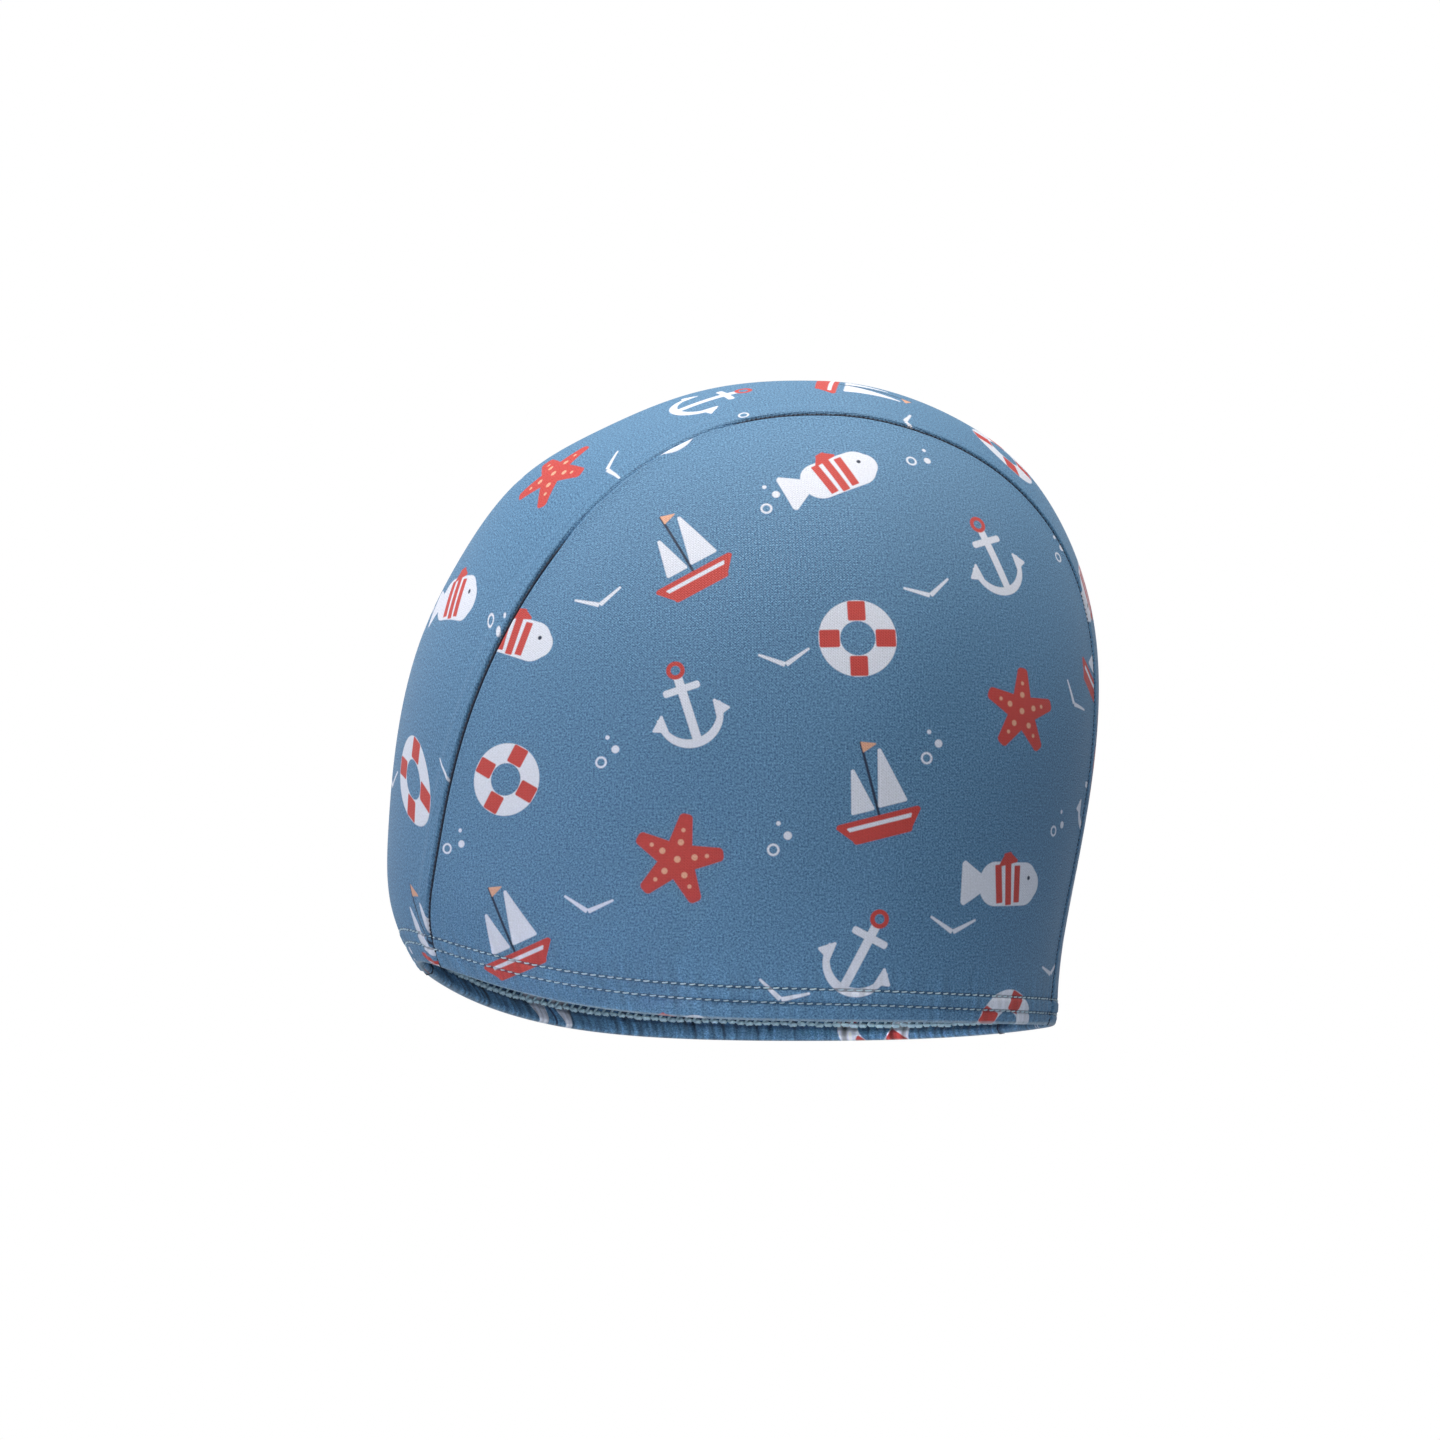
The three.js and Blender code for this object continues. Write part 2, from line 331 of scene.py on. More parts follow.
def seamDistance(points):
    # The distance to the left seam, and the seam's station abreast of each point
    flat = points.reshape(-1, 3)
    found = [seamTree.find(point) for point in flat]
    distance = np.array([hit[2] for hit in found]).reshape(points.shape[:-1])
    station = np.array([seamAhead[hit[1]] for hit in found]).reshape(points.shape[:-1])
    return distance, station


def closedShare(station):
    # 1 where the side panel's edge rolls over the thread, on the upper front
    return smoothStep(station, seamStretch["to"] - 0.3, seamStretch["to"] + 0.2) * (
        1 - smoothStep(station, seamStretch["from"] - 0.3, seamStretch["from"] + 0.3)
    )


def seamRelief(distance, station, isCentre):
    closed = closedShare(station)
    shape = seamProfile
    groove = -cloth["seamDepth"] * bump(distance, cloth["seamWidth"]) * (1 - shape["filled"] * closed)
    roll = cloth["seamRoll"] * bump(distance - shape["rollAt"], shape["rollWidth"])
    closedRoll = bump(distance - shape["closedRollAt"], shape["closedRollWidth"])
    roll = roll + cloth["closedRoll"] * closed * closedRoll
    if not isCentre:
        outerRoll = bump(distance - shape["outerRollAt"], shape["outerRollWidth"])
        return groove + roll + shape["outerRoll"] * outerRoll
    past = distance - cloth["allowanceWidth"]
    lifted = smoothStep(distance, *shape["liftStart"]) * (1 - smoothStep(past, *shape["liftEnd"]))
    return groove + shape["centreShare"] * roll + cloth["allowanceRise"] * lifted


print("surface ready")


# Sections of the hem, from the cut edge inside, down, round the fold and up the outside. Each row
# has its height up the cloth, and whether it lies on the inner layer, the fold or the outer one.
def hemSection(innerRows=14, foldRows=9, outerRows=26, top=cloth["sectionTop"]):
    radius = cloth["foldRadius"]
    rows = []
    for share in np.linspace(1, 0, innerRows, endpoint=False):
        rows.append({"layer": "inner", "share": share})
    for angle in np.linspace(90, -90, foldRows):
        rows.append({"layer": "fold", "angle": math.radians(angle)})
    for up in np.linspace(radius, top, outerRows + 1)[1:]:
        rows.append({"layer": "outer", "up": up})
    return rows


def hemCorner(row, turn):
    # Face and wrong-side depth below the outside of the cap, and the height up the cloth
    radius, thick = cloth["foldRadius"], cloth["thickness"]
    upper = upperRowAt(turn)
    ridges = cloth["puckerHeightInside"] * puckers(alongHem(turn) + cloth["puckerShift"])
    if row["layer"] == "inner":
        cut = upper + cloth["beyondRow"]
        up = radius + (cut - radius) * row["share"]
        pressed = smoothStep(up, cloth["pressedFrom"], upper - cloth["rowSpacing"])
        face = mix(2 * radius, cloth["pressedDepth"], pressed)
        height = mix(cloth["puckerAtFold"], 1, smoothStep(up, *cloth["puckerStartInside"]))
        face = face + ridges * height
        for place in (upper, upper - cloth["rowSpacing"]):
            face = face - cloth["grooveInside"] * bump(up - place, cloth["grooveWidthInside"])
        return up, face, face - thick
    if row["layer"] == "fold":
        side = math.sin(row["angle"])
        up = radius * (1 - math.cos(row["angle"])) + 0 * turn
        ridge = ridges * cloth["puckerAtFold"] * max(side, 0)
        face = radius * (1 + side) + ridge
        inside = radius - thick
        return up, face, radius + inside * side + ridge
    up = row["up"] + 0 * turn
    relief = hemRelief(up, turn)
    return up, -relief, thick - 0.5 * relief


def isOutside(row):
    return row["layer"] == "outer" or row.get("angle", 1) < 0


def wrongUp(row, up):
    # Inside the fold the wrong side runs round a smaller circle
    if row["layer"] != "fold":
        return up
    radius = cloth["foldRadius"]
    return radius - (radius - cloth["thickness"]) * math.cos(row["angle"]) + 0 * up


sideMiddle = np.array([73.5, 10.0, 60.0])  # a side panel's print is laid out from here


def printPlaceSide(points):
    # The side panel unrolled about its middle, in millimetres: across towards the back, and up
    offset = points[..., 1:] - sideMiddle[1:]
    drop = np.maximum(sideMiddle[0] - points[..., 0], 0)
    radius = np.maximum(np.linalg.norm(offset, axis=-1), 1e-6)
    angle = np.arctan2(drop, radius)
    run = np.hypot(radius, drop) / np.sinc(angle / math.pi)
    return offset / radius[..., None] * run[..., None]


class ClothGrid:
    # Points of the face and the wrong side, with where each lies in the print and on the hem

    def __init__(self, rows, columns):
        self.face = np.zeros((rows, columns, 3))
        self.wrong = np.zeros((rows, columns, 3))
        self.printPlace = np.zeros((rows, columns, 2))
        self.hemPlace = np.zeros((rows, columns, 3))

    def move(self, where, step):
        self.face[where] += step
        self.wrong[where] += step

    def setHemPlace(self, i, turn, up, shown=1):
        # Along the hem, up from its fold (negative inside), and up from the upper row of stitches
        self.hemPlace[i] = np.stack([alongHem(turn), shown * up, up - upperRowAt(turn)], axis=-1)


def halfGap(station):
    # Half the gap between two panels' edges
    return cloth["seamGap"] / 2 * (1 - cloth["gapShut"] * closedShare(station))


def moveEdges(grid, i, ahead, left, isCentre):
    # Both edges of a panel stand back from the seam line
    step = halfGap(ahead)[:, None] * clothDirections(ahead, left)[1]
    grid.move((i, 0), step[0])
    grid.move((i, -1), -step[-1] if isCentre else step[-1])


def seamFoot(up, isFront):
    # The level and turn of the left seam where it stands a height above the rim
    level = levelAboveRim(np.array([0.0 if isFront else math.pi]), up)
    return level, seamAtLevel(level, isFront)


def fillHemRow(grid, i, row, turn, isCentre):
    # A row of a panel's hem; turns run on past the back for the right half of the centre panel
    hemTurn = np.minimum(np.abs(turn), 2 * math.pi - turn)
    up, face, wrong = hemCorner(row, hemTurn)
    ahead, left = placeAt(levelAboveRim(turn, up), turn)
    base = outsidePoint(ahead, left)
    outward = outwardAt(ahead, left)
    onLeft = base * np.where(base[:, :1] < 0, mirrored, 1)
    relief = seamRelief(*seamDistance(onLeft), isCentre) * (row["layer"] == "outer")
    lower = pointAt(levelAboveRim(turn, wrongUp(row, up)), turn)
    grid.face[i] = base + outward * (relief - face)[:, None]
    grid.wrong[i] = lower + outward * (relief * 0.6 - wrong)[:, None]
    grid.setHemPlace(i, hemTurn, up, 1 if isOutside(row) else -1)
    moveEdges(grid, i, ahead, left, isCentre)
    return ahead, base


def fillUpperRow(grid, i, ahead, left, isCentre, side=1.0):
    # A row above the hem, worked out on the left half and mirrored where side is -1
    base = outsidePoint(ahead, left)
    turn = np.arctan2(left, ahead)
    distance, station = seamDistance(base)
    up = np.linalg.norm(base - pointAt(rimLevel, turn), axis=-1)
    top = cloth["sectionTop"]
    calm = smoothStep(distance, 1, 12) * smoothStep(up, top, top + 14)
    relief = seamRelief(distance, station, isCentre) + undulation(base) * calm
    relief = relief + hemRelief(np.maximum(up, top), turn) * (1 - smoothStep(up, *cloth["pullEnds"]))
    outward = outwardAt(ahead, left)
    for vectors in (base, outward):
        vectors[:, 0] *= side
    grid.face[i] = base + outward * relief[:, None]
    grid.wrong[i] = base + outward * (0.7 * relief - cloth["thickness"])[:, None]
    grid.setHemPlace(i, turn, up)
    return base


sidePanel = {
    "columns": 300,
    "fanRows": 76,
    "archEase": 0.25,    # how far the columns crowd towards the ends of the arch
    "crowding": 0.86,    # of the rows, towards the hem and the seam
}


def sidePanelGrid():
    # Rows run from the cut edge inside the hem, round the fold and up to the arch of the seam
    section = hemSection()
    fanRows = sidePanel["fanRows"]
    part = np.linspace(0, 1, sidePanel["columns"] + 1)
    grid = ClothGrid(len(section) + fanRows, len(part))
    for i, row in enumerate(section):
        isInner = row["layer"] == "inner"
        up = cloth["upperRow"] * row["share"] if isInner else hemCorner(row, 0 * part)[0][0]
        turn = mix(seamFoot(up, True)[1], seamFoot(up, False)[1], part)
        ahead, base = fillHemRow(grid, i, row, turn, False)
        place = printPlaceSide(base)
        rim = printPlaceSide(pointAt(rimLevel, turn))
        grid.printPlace[i] = place if isOutside(row) else 2 * rim - place

    # Above the hem the rows fan out between the hem and the seam
    top = cloth["sectionTop"]
    feet = [seamFoot(top, isFront) for isFront in (True, False)]
    (frontAhead, frontLeft), (backAhead, backLeft) = [placeAt(*foot) for foot in feet]
    archPart = mix(part, 0.5 - 0.5 * np.cos(part * math.pi), sidePanel["archEase"])
    archAhead = mix(frontAhead, backAhead, archPart)
    archLeft = seamAtStation(archAhead)
    archLeft[[0, -1]] = frontLeft[0], backLeft[0]
    hemTurn = mix(feet[0][1], feet[1][1], part)
    hemLevel = levelAboveRim(hemTurn, top)
    archLevel, archTurn = np.hypot(archAhead, archLeft), np.arctan2(archLeft, archAhead)
    steps = np.arange(1, fanRows + 1) / fanRows
    shares = steps - sidePanel["crowding"] * np.sin(2 * math.pi * steps) / (2 * math.pi)
    for i, share in enumerate(shares, len(section)):
        ahead, left = placeAt(mix(hemLevel, archLevel, share), mix(hemTurn, archTurn, share))
        grid.printPlace[i] = printPlaceSide(fillUpperRow(grid, i, ahead, left, False))
        if share < 1:
            moveEdges(grid, i, ahead, left, False)
    grid.move(-1, halfGap(ahead)[:, None] * clothDirections(ahead, left)[1])
    return grid


centrePanel = {
    "columns": 92,
    "overRows": 190,
    "crowding": 0.8,         # of the columns, towards both seams
    "straightAbove": 4.0,    # levels between which the rows turn from straight to the hem's curve
    "curvedBelow": 7.5,
    "hemPrint": 1.04,        # the print's widths are unrolled by this much in the hem
    "crownPrint": 0.0001,    # and by this times the square of the distance above it
}


def centrePanelGrid():
    # Rows run from the cut edge at the front, round its fold, over the crown and round the back fold
    section = hemSection()
    overRows = centrePanel["overRows"]
    spread = np.linspace(-1, 1, centrePanel["columns"] + 1)
    across = spread + centrePanel["crowding"] * np.sin(math.pi * spread) / math.pi
    grid = ClothGrid(2 * len(section) + overRows, len(across))

    # Distance along the middle of the panel, from the front fold over the crown
    middleAhead = np.linspace(rimLevel, -rimLevel, 1200)
    gaps = np.linalg.norm(np.diff(outsidePoint(middleAhead, 0 * middleAhead), axis=0), axis=1)
    middleRun = np.concatenate([[0], np.cumsum(gaps)])

    def runAt(ahead):
        return np.interp(-ahead, -middleAhead, middleRun)

    for k, row in enumerate(section):
        for isFront in (True, False):
            i = k if isFront else len(grid.face) - 1 - k
            foot = seamFoot(hemCorner(row, np.array([0.0 if isFront else math.pi]))[0], isFront)[1]
            turn = foot * across if isFront else math.pi - (math.pi - foot) * across
            ahead, base = fillHemRow(grid, i, row, turn, True)
            run = runAt(ahead)
            end = 0.0 if isFront else middleRun[-1]
            grid.printPlace[i, :, 0] = base[:, 0] * centrePanel["hemPrint"]
            grid.printPlace[i, :, 1] = run if isOutside(row) else 2 * end - run

    share = np.abs(across)
    side = np.where(across < 0, -1.0, 1.0)
    ends = [placeAt(*seamFoot(cloth["sectionTop"], isFront))[0][0] for isFront in (True, False)]
    stations = np.linspace(*ends, overRows + 2)[1:-1]
    for i, (station, edge) in enumerate(zip(stations, seamAtStation(stations)), len(section)):
        level = np.hypot(station, edge)
        turn = np.arctan2(edge, abs(station)) * share
        curvedAhead, curvedLeft = placeAt(level, turn if station > 0 else math.pi - turn)
        blend = smoothStep(level, centrePanel["straightAbove"], centrePanel["curvedBelow"])
        ahead, left = mix(station, curvedAhead, blend), mix(edge * share, curvedLeft, blend)
        base = fillUpperRow(grid, i, ahead, left, True, side)
        grid.printPlace[i, :, 0] = base[:, 0] * (1 + centrePanel["crownPrint"] * base[:, 0] ** 2)
        grid.printPlace[i, :, 1] = runAt(ahead)
        moveEdges(grid, i, ahead, left * side, True)
    return grid


def mirrorGrid(grid):
    # The right side panel: the left one mirrored, with the print running on another way
    other = ClothGrid(*grid.face.shape[:2])
    other.face, other.wrong = grid.face * mirrored, grid.wrong * mirrored
    other.printPlace = grid.printPlace * mirrored[:2]
    other.hemPlace = grid.hemPlace.copy()
    return other


def clothMesh(name, grid, printShift):
    # A closed body: the face and wrong side of the cloth, joined by its cut edges
    rows, columns = grid.face.shape[:2]
    count = rows * columns
    points = np.concatenate([grid.face.reshape(-1, 3), grid.wrong.reshape(-1, 3)]) * mm
    index = np.arange(count).reshape(rows, columns)
    corners = [index[:-1, :-1], index[:-1, 1:], index[1:, 1:], index[1:, :-1]]
    face = np.stack(corners, axis=-1).reshape(-1, 4)
    wrong = face[:, ::-1] + count
    ring = np.concatenate([index[0, :-1], index[:-1, -1], index[-1, :0:-1], index[:0:-1, 0]])
    following = np.roll(ring, -1)
    walls = np.stack([ring, ring + count, following + count, following], axis=-1)
    mesh = bpy.data.meshes.new(name)
    mesh.from_pydata(points.tolist(), [], np.concatenate([face, wrong, walls]).tolist())
    slots = np.concatenate([np.zeros(len(face)), np.ones(len(wrong) + len(walls))]).astype(int)
    mesh.polygons.foreach_set("material_index", slots)
    addPlaces(mesh, "printPlace", grid.printPlace + np.array(printShift))
    addPlaces(mesh, "hemPlace", grid.hemPlace)
    cleanMesh(mesh)
    return mesh


def addPlaces(mesh, name, places):
    numbers = places.shape[-1]
    flat = places.reshape(-1, numbers)
    spread = np.zeros((len(flat) * 2, 3), np.float32)
    spread[:, :numbers] = np.concatenate([flat, flat])
    attribute = mesh.attributes.new(name, "FLOAT_VECTOR", "POINT")
    attribute.data.foreach_set("vector", spread.ravel())


def cleanMesh(mesh):
    work = bmesh.new()
    work.from_mesh(mesh)
    bmesh.ops.remove_doubles(work, verts=work.verts, dist=0.004 * mm)
    bmesh.ops.dissolve_degenerate(work, edges=work.edges, dist=0.002 * mm)
    bmesh.ops.recalc_face_normals(work, faces=work.faces)
    for polygon in work.faces:
        polygon.smooth = True
    work.to_mesh(mesh)
    work.free()
    mesh.update()


def addPiece(name, mesh, materials, replaced=()):
    mesh.name = name
    for material in materials:
        mesh.materials.append(material)
    piece = addObject(name, mesh)
    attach(piece, "root")
    for node in replaced:
        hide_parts(node)
    return piece


# Materials
def linear(hexColour):
    # An sRGB hex value as linear red, green, blue and alpha
    parts = [int(hexColour[k:k + 2], 16) / 255 for k in (1, 3, 5)]
    return tuple(c / 12.92 if c <= 0.04045 else ((c + 0.055) / 1.055) ** 2.4 for c in parts) + (1.0,)


colourMix = {"kind": "ShaderNodeMix", "data_type": "RGBA", "out": 2}  # inputs 6 and 7 by the share in 0
turnedBy = {"kind": "ShaderNodeVectorRotate", "rotation_type": "Z_AXIS"}


def addNode(tree, kind, *values, out=0, named=None, **settings):
    # A kind that names no node is an operation of the Math node. values fill the first inputs in
    # order, and named the others. It returns one output, or all of them. add, below, is this
    # function on one tree.
    if "Node" not in kind:
        kind, settings["operation"] = "ShaderNodeMath", kind
    node = tree.nodes.new(kind)
    for key, value in settings.items():
        setattr(node, key, value)
    for key, value in [*enumerate(values), *(named or {}).items()]:
        for each in value if isinstance(value, list) else [value]:
            if isinstance(each, bpy.types.NodeSocket):
                tree.links.new(each, node.inputs[key])
            else:
                node.inputs[key].default_value = each
    position = len(tree.nodes)
    node.location = (220 * (position % 14), -260 * (position // 14))
    return node.outputs if out is None else node.outputs[out] if len(node.outputs) else node


def newMaterial(name):
    material = bpy.data.materials.new(name)
    material.use_nodes = True
    material.node_tree.nodes.clear()
    return material, partial(addNode, material.node_tree)


# The print: white, red, navy and peach seaside motifs on blue. Each motif is a list of rounded
# shapes painted one over the other. A shape has its colour, centre, turn in degrees, half width at
# the foot and at the top, half height and rounding. folds repeats the shapes round the middle.
printColours = {
    "white": "#e0e3f3",
    "red": "#c6433f",
    "navy": "#1f2e49",
    "peach": "#dfa78e",
}
printDesign = {
    "cellWidth": 43.0,
    "cellHeight": 41.0,
    "start": (3.0, 6.0, 0),
    "lean": 34.0,       # degrees, the most that a motif leans either way
    "shift": 4.0,       # how far a motif may stand off the middle of its cell
    "edge": 0.3,        # the width over which the ink ends
    "seed": 5.0,
}
shapeColumns = ("colour", "x", "y", "turn", "foot", "top", "half", "corner")
boat = [
    ("navy", 0.6, 3.0, 0, 0.05, 0.05, 10.5, 0.28),
    ("white", 4.6, 4.2, 0, 3.2, 0, 6.4, 0.5),
    ("white", -3.0, 2.4, 0, 2.4, 0, 4.8, 0.5),
    ("red", 0.4, -7.2, 0, 6.6, 9.8, 1.9, 0.9),
    ("white", 0.4, -6.2, 0, 7.6, 7.9, 0.2, 0.3),
    ("peach", 2.4, 12.4, -90, 1.1, 0, 1.6, 0.2),
]
fish = [
    ("white", -10.2, 0, -90, 4.4, 0.6, 3.0, 1.0),
    ("white", 1.2, 0, 0, 5.2, 5.2, 0.6, 4.9),
    ("white", 4.4, 0, 0, 4.0, 4.0, 0, 3.9),
    ("red", -2.8, 0, 6, 0.75, 0.75, 4.5, 0.3),
    ("red", 0.4, 0, 4, 0.75, 0.75, 5.0, 0.3),
    ("red", 3.5, 0, 2, 0.75, 0.75, 4.4, 0.3),
    ("navy", 8.0, 1.5, 0, 0, 0, 0, 0.55),
    ("red", 0, 6.4, 12, 2.6, 0.8, 0.9, 0.6),
]
starfish = [
    ("red", 5.4, 0, -90, 2.3, 0.5, 4.6, 1.2),
    ("red", 0, 0, 0, 0.4, 0.4, 0.4, 3.2),
    ("peach", 4.2, 0, 0, 0, 0, 0, 0.75),
    ("peach", 7.2, 0, 0, 0, 0, 0, 0.5),
    ("peach", 0, 0, 0, 0, 0, 0, 0.8),
]
lifebuoy = [
    ("white", 0, 0, 0, 0, 0, 0, 9.6),
    ("red", 6.9, 0, 0, 2.0, 2.0, 1.7, 0.5),
    ("cloth", 0, 0, 0, 0, 0, 0, 4.3),
]
anchor = [
    ("white", 0, -1.6, 0, 0, 0, 0, 8.2),
    ("cloth", 0, -0.6, 0, 0, 0, 0, 7.0),
    ("cloth", 0, 4.6, 0, 9.6, 9.6, 4.8, 0.2),
    ("white", 0, 0.2, 0, 0.5, 0.5, 8.6, 0.6),
    ("white", 0, 5.2, 0, 4.0, 4.0, 0.2, 0.7),
    ("red", 0, 10.2, 0, 0, 0, 0, 2.3),
    ("cloth", 0, 10.2, 0, 0, 0, 0, 1.2),
    ("white", 7.4, -1.6, 20, 1.6, 0, 1.7, 0.4),
    ("white", -7.4, -1.6, -20, 1.6, 0, 1.7, 0.4),
]
bubbles = [
    ("white", -2.6, -1.6, 0, 0, 0, 0, 1.5),
    ("cloth", -2.6, -1.6, 0, 0, 0, 0, 0.95),
    ("white", 1.6, 0.8, 0, 0, 0, 0, 1.0),
    ("white", 0.2, 4.2, 0, 0, 0, 0, 0.55),
]
gull = [
    ("white", -3.2, 0.4, 62, 0.3, 0, 3.2, 0.3),
    ("white", 3.2, 0.4, -62, 0.3, 0, 3.2, 0.3),
]
motifs = [
    {"shapes": boat, "folds": 0},
    {"shapes": lifebuoy, "folds": 4},
    {"shapes": fish, "folds": 0},
    {"shapes": starfish, "folds": 5},
    {"shapes": anchor, "folds": 0},
]
fillers = [
    {"shapes": bubbles, "folds": 0},
    {"shapes": gull, "folds": 0},
]


def inkShapeGroup():
    # How much of a rounded shape covers a place: 1 inside, 0 outside
    tree = bpy.data.node_groups.new("inkShape", "ShaderNodeTree")
    for name in ("Place", "Centre"):
        tree.interface.new_socket(name, in_out="INPUT", socket_type="NodeSocketVector")
    for name in ("Turn", "Foot", "Top", "Half", "Corner"):
        tree.interface.new_socket(name, in_out="INPUT", socket_type="NodeSocketFloat")
    tree.interface.new_socket("Cover", in_out="OUTPUT", socket_type="NodeSocketFloat")
    add = partial(addNode, tree)
    given = add("NodeGroupInput", out=None)
    offset = add("ShaderNodeVectorMath", given["Place"], given["Centre"], operation="SUBTRACT")
    back = add("MULTIPLY", given["Turn"], -1.0)
    turned = add(**turnedBy, named={"Vector": offset, "Angle": back})
    x, y, z = add("ShaderNodeSeparateXYZ", turned, out=None)
    height = add("ADD", given["Half"], 1e-4)
    climb = add("DIVIDE", y, height)
    share = add("MULTIPLY_ADD", climb, 0.5, 0.5, use_clamp=True)
    taper = add("SUBTRACT", given["Top"], given["Foot"])
    width = add("MULTIPLY_ADD", taper, share, given["Foot"])
    reach = add("ABSOLUTE", x)
    over = add("SUBTRACT", reach, width)
    rise = add("ABSOLUTE", y)
    above = add("SUBTRACT", rise, given["Half"])
    outX = add("MAXIMUM", over, 0.0)
    outY = add("MAXIMUM", above, 0.0)
    squareY = add("MULTIPLY", outY, outY)
    square = add("MULTIPLY_ADD", outX, outX, squareY)
    outside = add("SQRT", square)
    nearer = add("MAXIMUM", over, above)
    inside = add("MINIMUM", nearer, 0.0)
    edge = add("ADD", outside, inside)
    distance = add("SUBTRACT", edge, given["Corner"])
    sharp = -1 / printDesign["edge"]
    cover = add("MULTIPLY_ADD", distance, sharp, 0.5, use_clamp=True)
    add("NodeGroupOutput", cover)
    return tree


def foldedPlace(add, place, count):
    # The place turned into one of count equal sectors about the motif's middle
    x, y, z = add("ShaderNodeSeparateXYZ", place, out=None)
    angle = add("ARCTAN2", y, x)
    half = math.pi / count
    within = add("WRAP", angle, half, -half)
    radius = add("ShaderNodeVectorMath", place, out="Value", operation="LENGTH")
    spoke = add("ShaderNodeCombineXYZ", radius)
    return add(**turnedBy, named={"Vector": spoke, "Angle": within})


def cellPlace(add, place, start, seed):
    # Half-drop cells: the place within its own cell, leaning and shifted by the cell's chance, and
    # the cell's two numbers
    moved = add("ShaderNodeVectorMath", place, start, operation="ADD")
    across, up, depth = add("ShaderNodeSeparateXYZ", moved, out=None)
    x = add("DIVIDE", across, printDesign["cellWidth"])
    column = add("FLOOR", x)
    odd = add("FLOORED_MODULO", column, 2.0)
    tall = add("DIVIDE", up, printDesign["cellHeight"])
    y = add("MULTIPLY_ADD", odd, 0.5, tall)
    row = add("FLOOR", y)
    cell = add("ShaderNodeCombineXYZ", column, row, seed)
    chance = add("ShaderNodeTexWhiteNoise", cell, out="Color", noise_dimensions="3D")
    grid = add("ShaderNodeCombineXYZ", x, y)
    corner = add("ShaderNodeVectorMath", cell, (0.5, 0.5, -seed), operation="ADD")
    flatCorner = add("ShaderNodeVectorMath", corner, (1, 1, 0), operation="MULTIPLY")
    offCentre = add("ShaderNodeVectorMath", grid, flatCorner, operation="SUBTRACT")
    size = (printDesign["cellWidth"], printDesign["cellHeight"], 0)
    local = add("ShaderNodeVectorMath", offCentre, size, operation="MULTIPLY")
    reach = printDesign["shift"]
    sway = add(
        "ShaderNodeVectorMath", chance, (2 * reach, 2 * reach, 0), (-reach, -reach, 0),
        operation="MULTIPLY_ADD",
    )
    shifted = add("ShaderNodeVectorMath", local, sway, operation="SUBTRACT")
    red, green, blue = add("ShaderNodeSeparateColor", chance, out=None)
    lean = math.radians(printDesign["lean"])
    angle = add("MULTIPLY_ADD", blue, 2 * lean, -lean)
    turned = add(**turnedBy, named={"Vector": shifted, "Angle": angle})
    return turned, column, row


def paintMotifs(add, colour, place, kind, chosen, shapeGroup, bareCloth):
    for number, motif in enumerate(chosen):
        isThis = add("COMPARE", kind, float(number), 0.4)
        local = foldedPlace(add, place, motif["folds"]) if motif["folds"] else place
        for values in motif["shapes"]:
            shape = dict(zip(shapeColumns, values))
            sizes = {name: float(shape[name.lower()]) for name in ("Foot", "Top", "Half", "Corner")}
            cover = add(
                "ShaderNodeGroup", node_tree=shapeGroup,
                named={
                    "Place": local,
                    "Centre": (shape["x"], shape["y"], 0),
                    "Turn": math.radians(shape["turn"]),
                    **sizes,
                },
            )
            shown = add("MULTIPLY", cover, isThis)
            isBare = shape["colour"] == "cloth"
            ink = bareCloth if isBare else linear(printColours[shape["colour"]])
            colour = add(**colourMix, named={0: shown, 6: colour, 7: ink})
    return colour


knit = {
    "wale": 0.85,           # drawn coarser than the real 0.5 mm, so that it shows
    "course": 0.68,         # the real one is about 0.4 mm
    "courseLean": 1.3,
    "waleShare": 0.65,      # of the height, and the courses take the rest
    "relief": 0.11,
    "bump": 0.9,
    "fleck": 0.5,           # size of the light and dark flecks, which show on the bare cloth
    "fleckEnds": (0.32, 0.68),
    "fleckShade": "#335a84",
    "fleckLight": "#6fa0c8",
    "inkFleck": 0.5,        # how much of them the ink lets through
    "roughness": 0.52,
    "specular": 0.4,
    "sheen": 0.06,
    "row": 0.38,            # width of the painted shade along each row of stitches, over the groove it pulls in
    # rowInside, rowPart and rowShade: the width inside, the strength and the colour of that painted shade
    "rowInside": 1.5,
    "rowPart": 0.6,
    "rowShade": "#1f3552",
    "foldHighlight": "#a7b6c3",  # a painted highlight in a pale line along the fold of the hem
    "gather": 1.7,          # width of the painted light and shade of the puckers along the hem
    "gatherTone": 0.75,     # how strongly that painted light and shade shows outside, and inside
    "gatherToneInside": 3.0,
    "gatherEnds": (7.0, 17.0),
    "wrongShade": "#9db4c9",
    "wrongLight": "#b4c5d5",
    "wrongRoughness": 0.88,
}


def knitHeight(add, place):
    # Columns of V-shaped stitches: wales across, and courses that lean up to each wale's middle
    x, y, z = add("ShaderNodeSeparateXYZ", place, out=None)
    lean = add("PINGPONG", x, knit["wale"] / 2)
    climbed = add("MULTIPLY_ADD", lean, knit["courseLean"], y)
    coursePhase = add("MULTIPLY", climbed, 2 * math.pi / knit["course"])
    course = add("SINE", coursePhase)
    walePhase = add("MULTIPLY", lean, 2 * math.pi / knit["wale"])
    wale = add("SINE", walePhase)
    rounded = add("MULTIPLY", wale, knit["waleShare"])
    return add("MULTIPLY_ADD", course, 1 - knit["waleShare"], rounded)


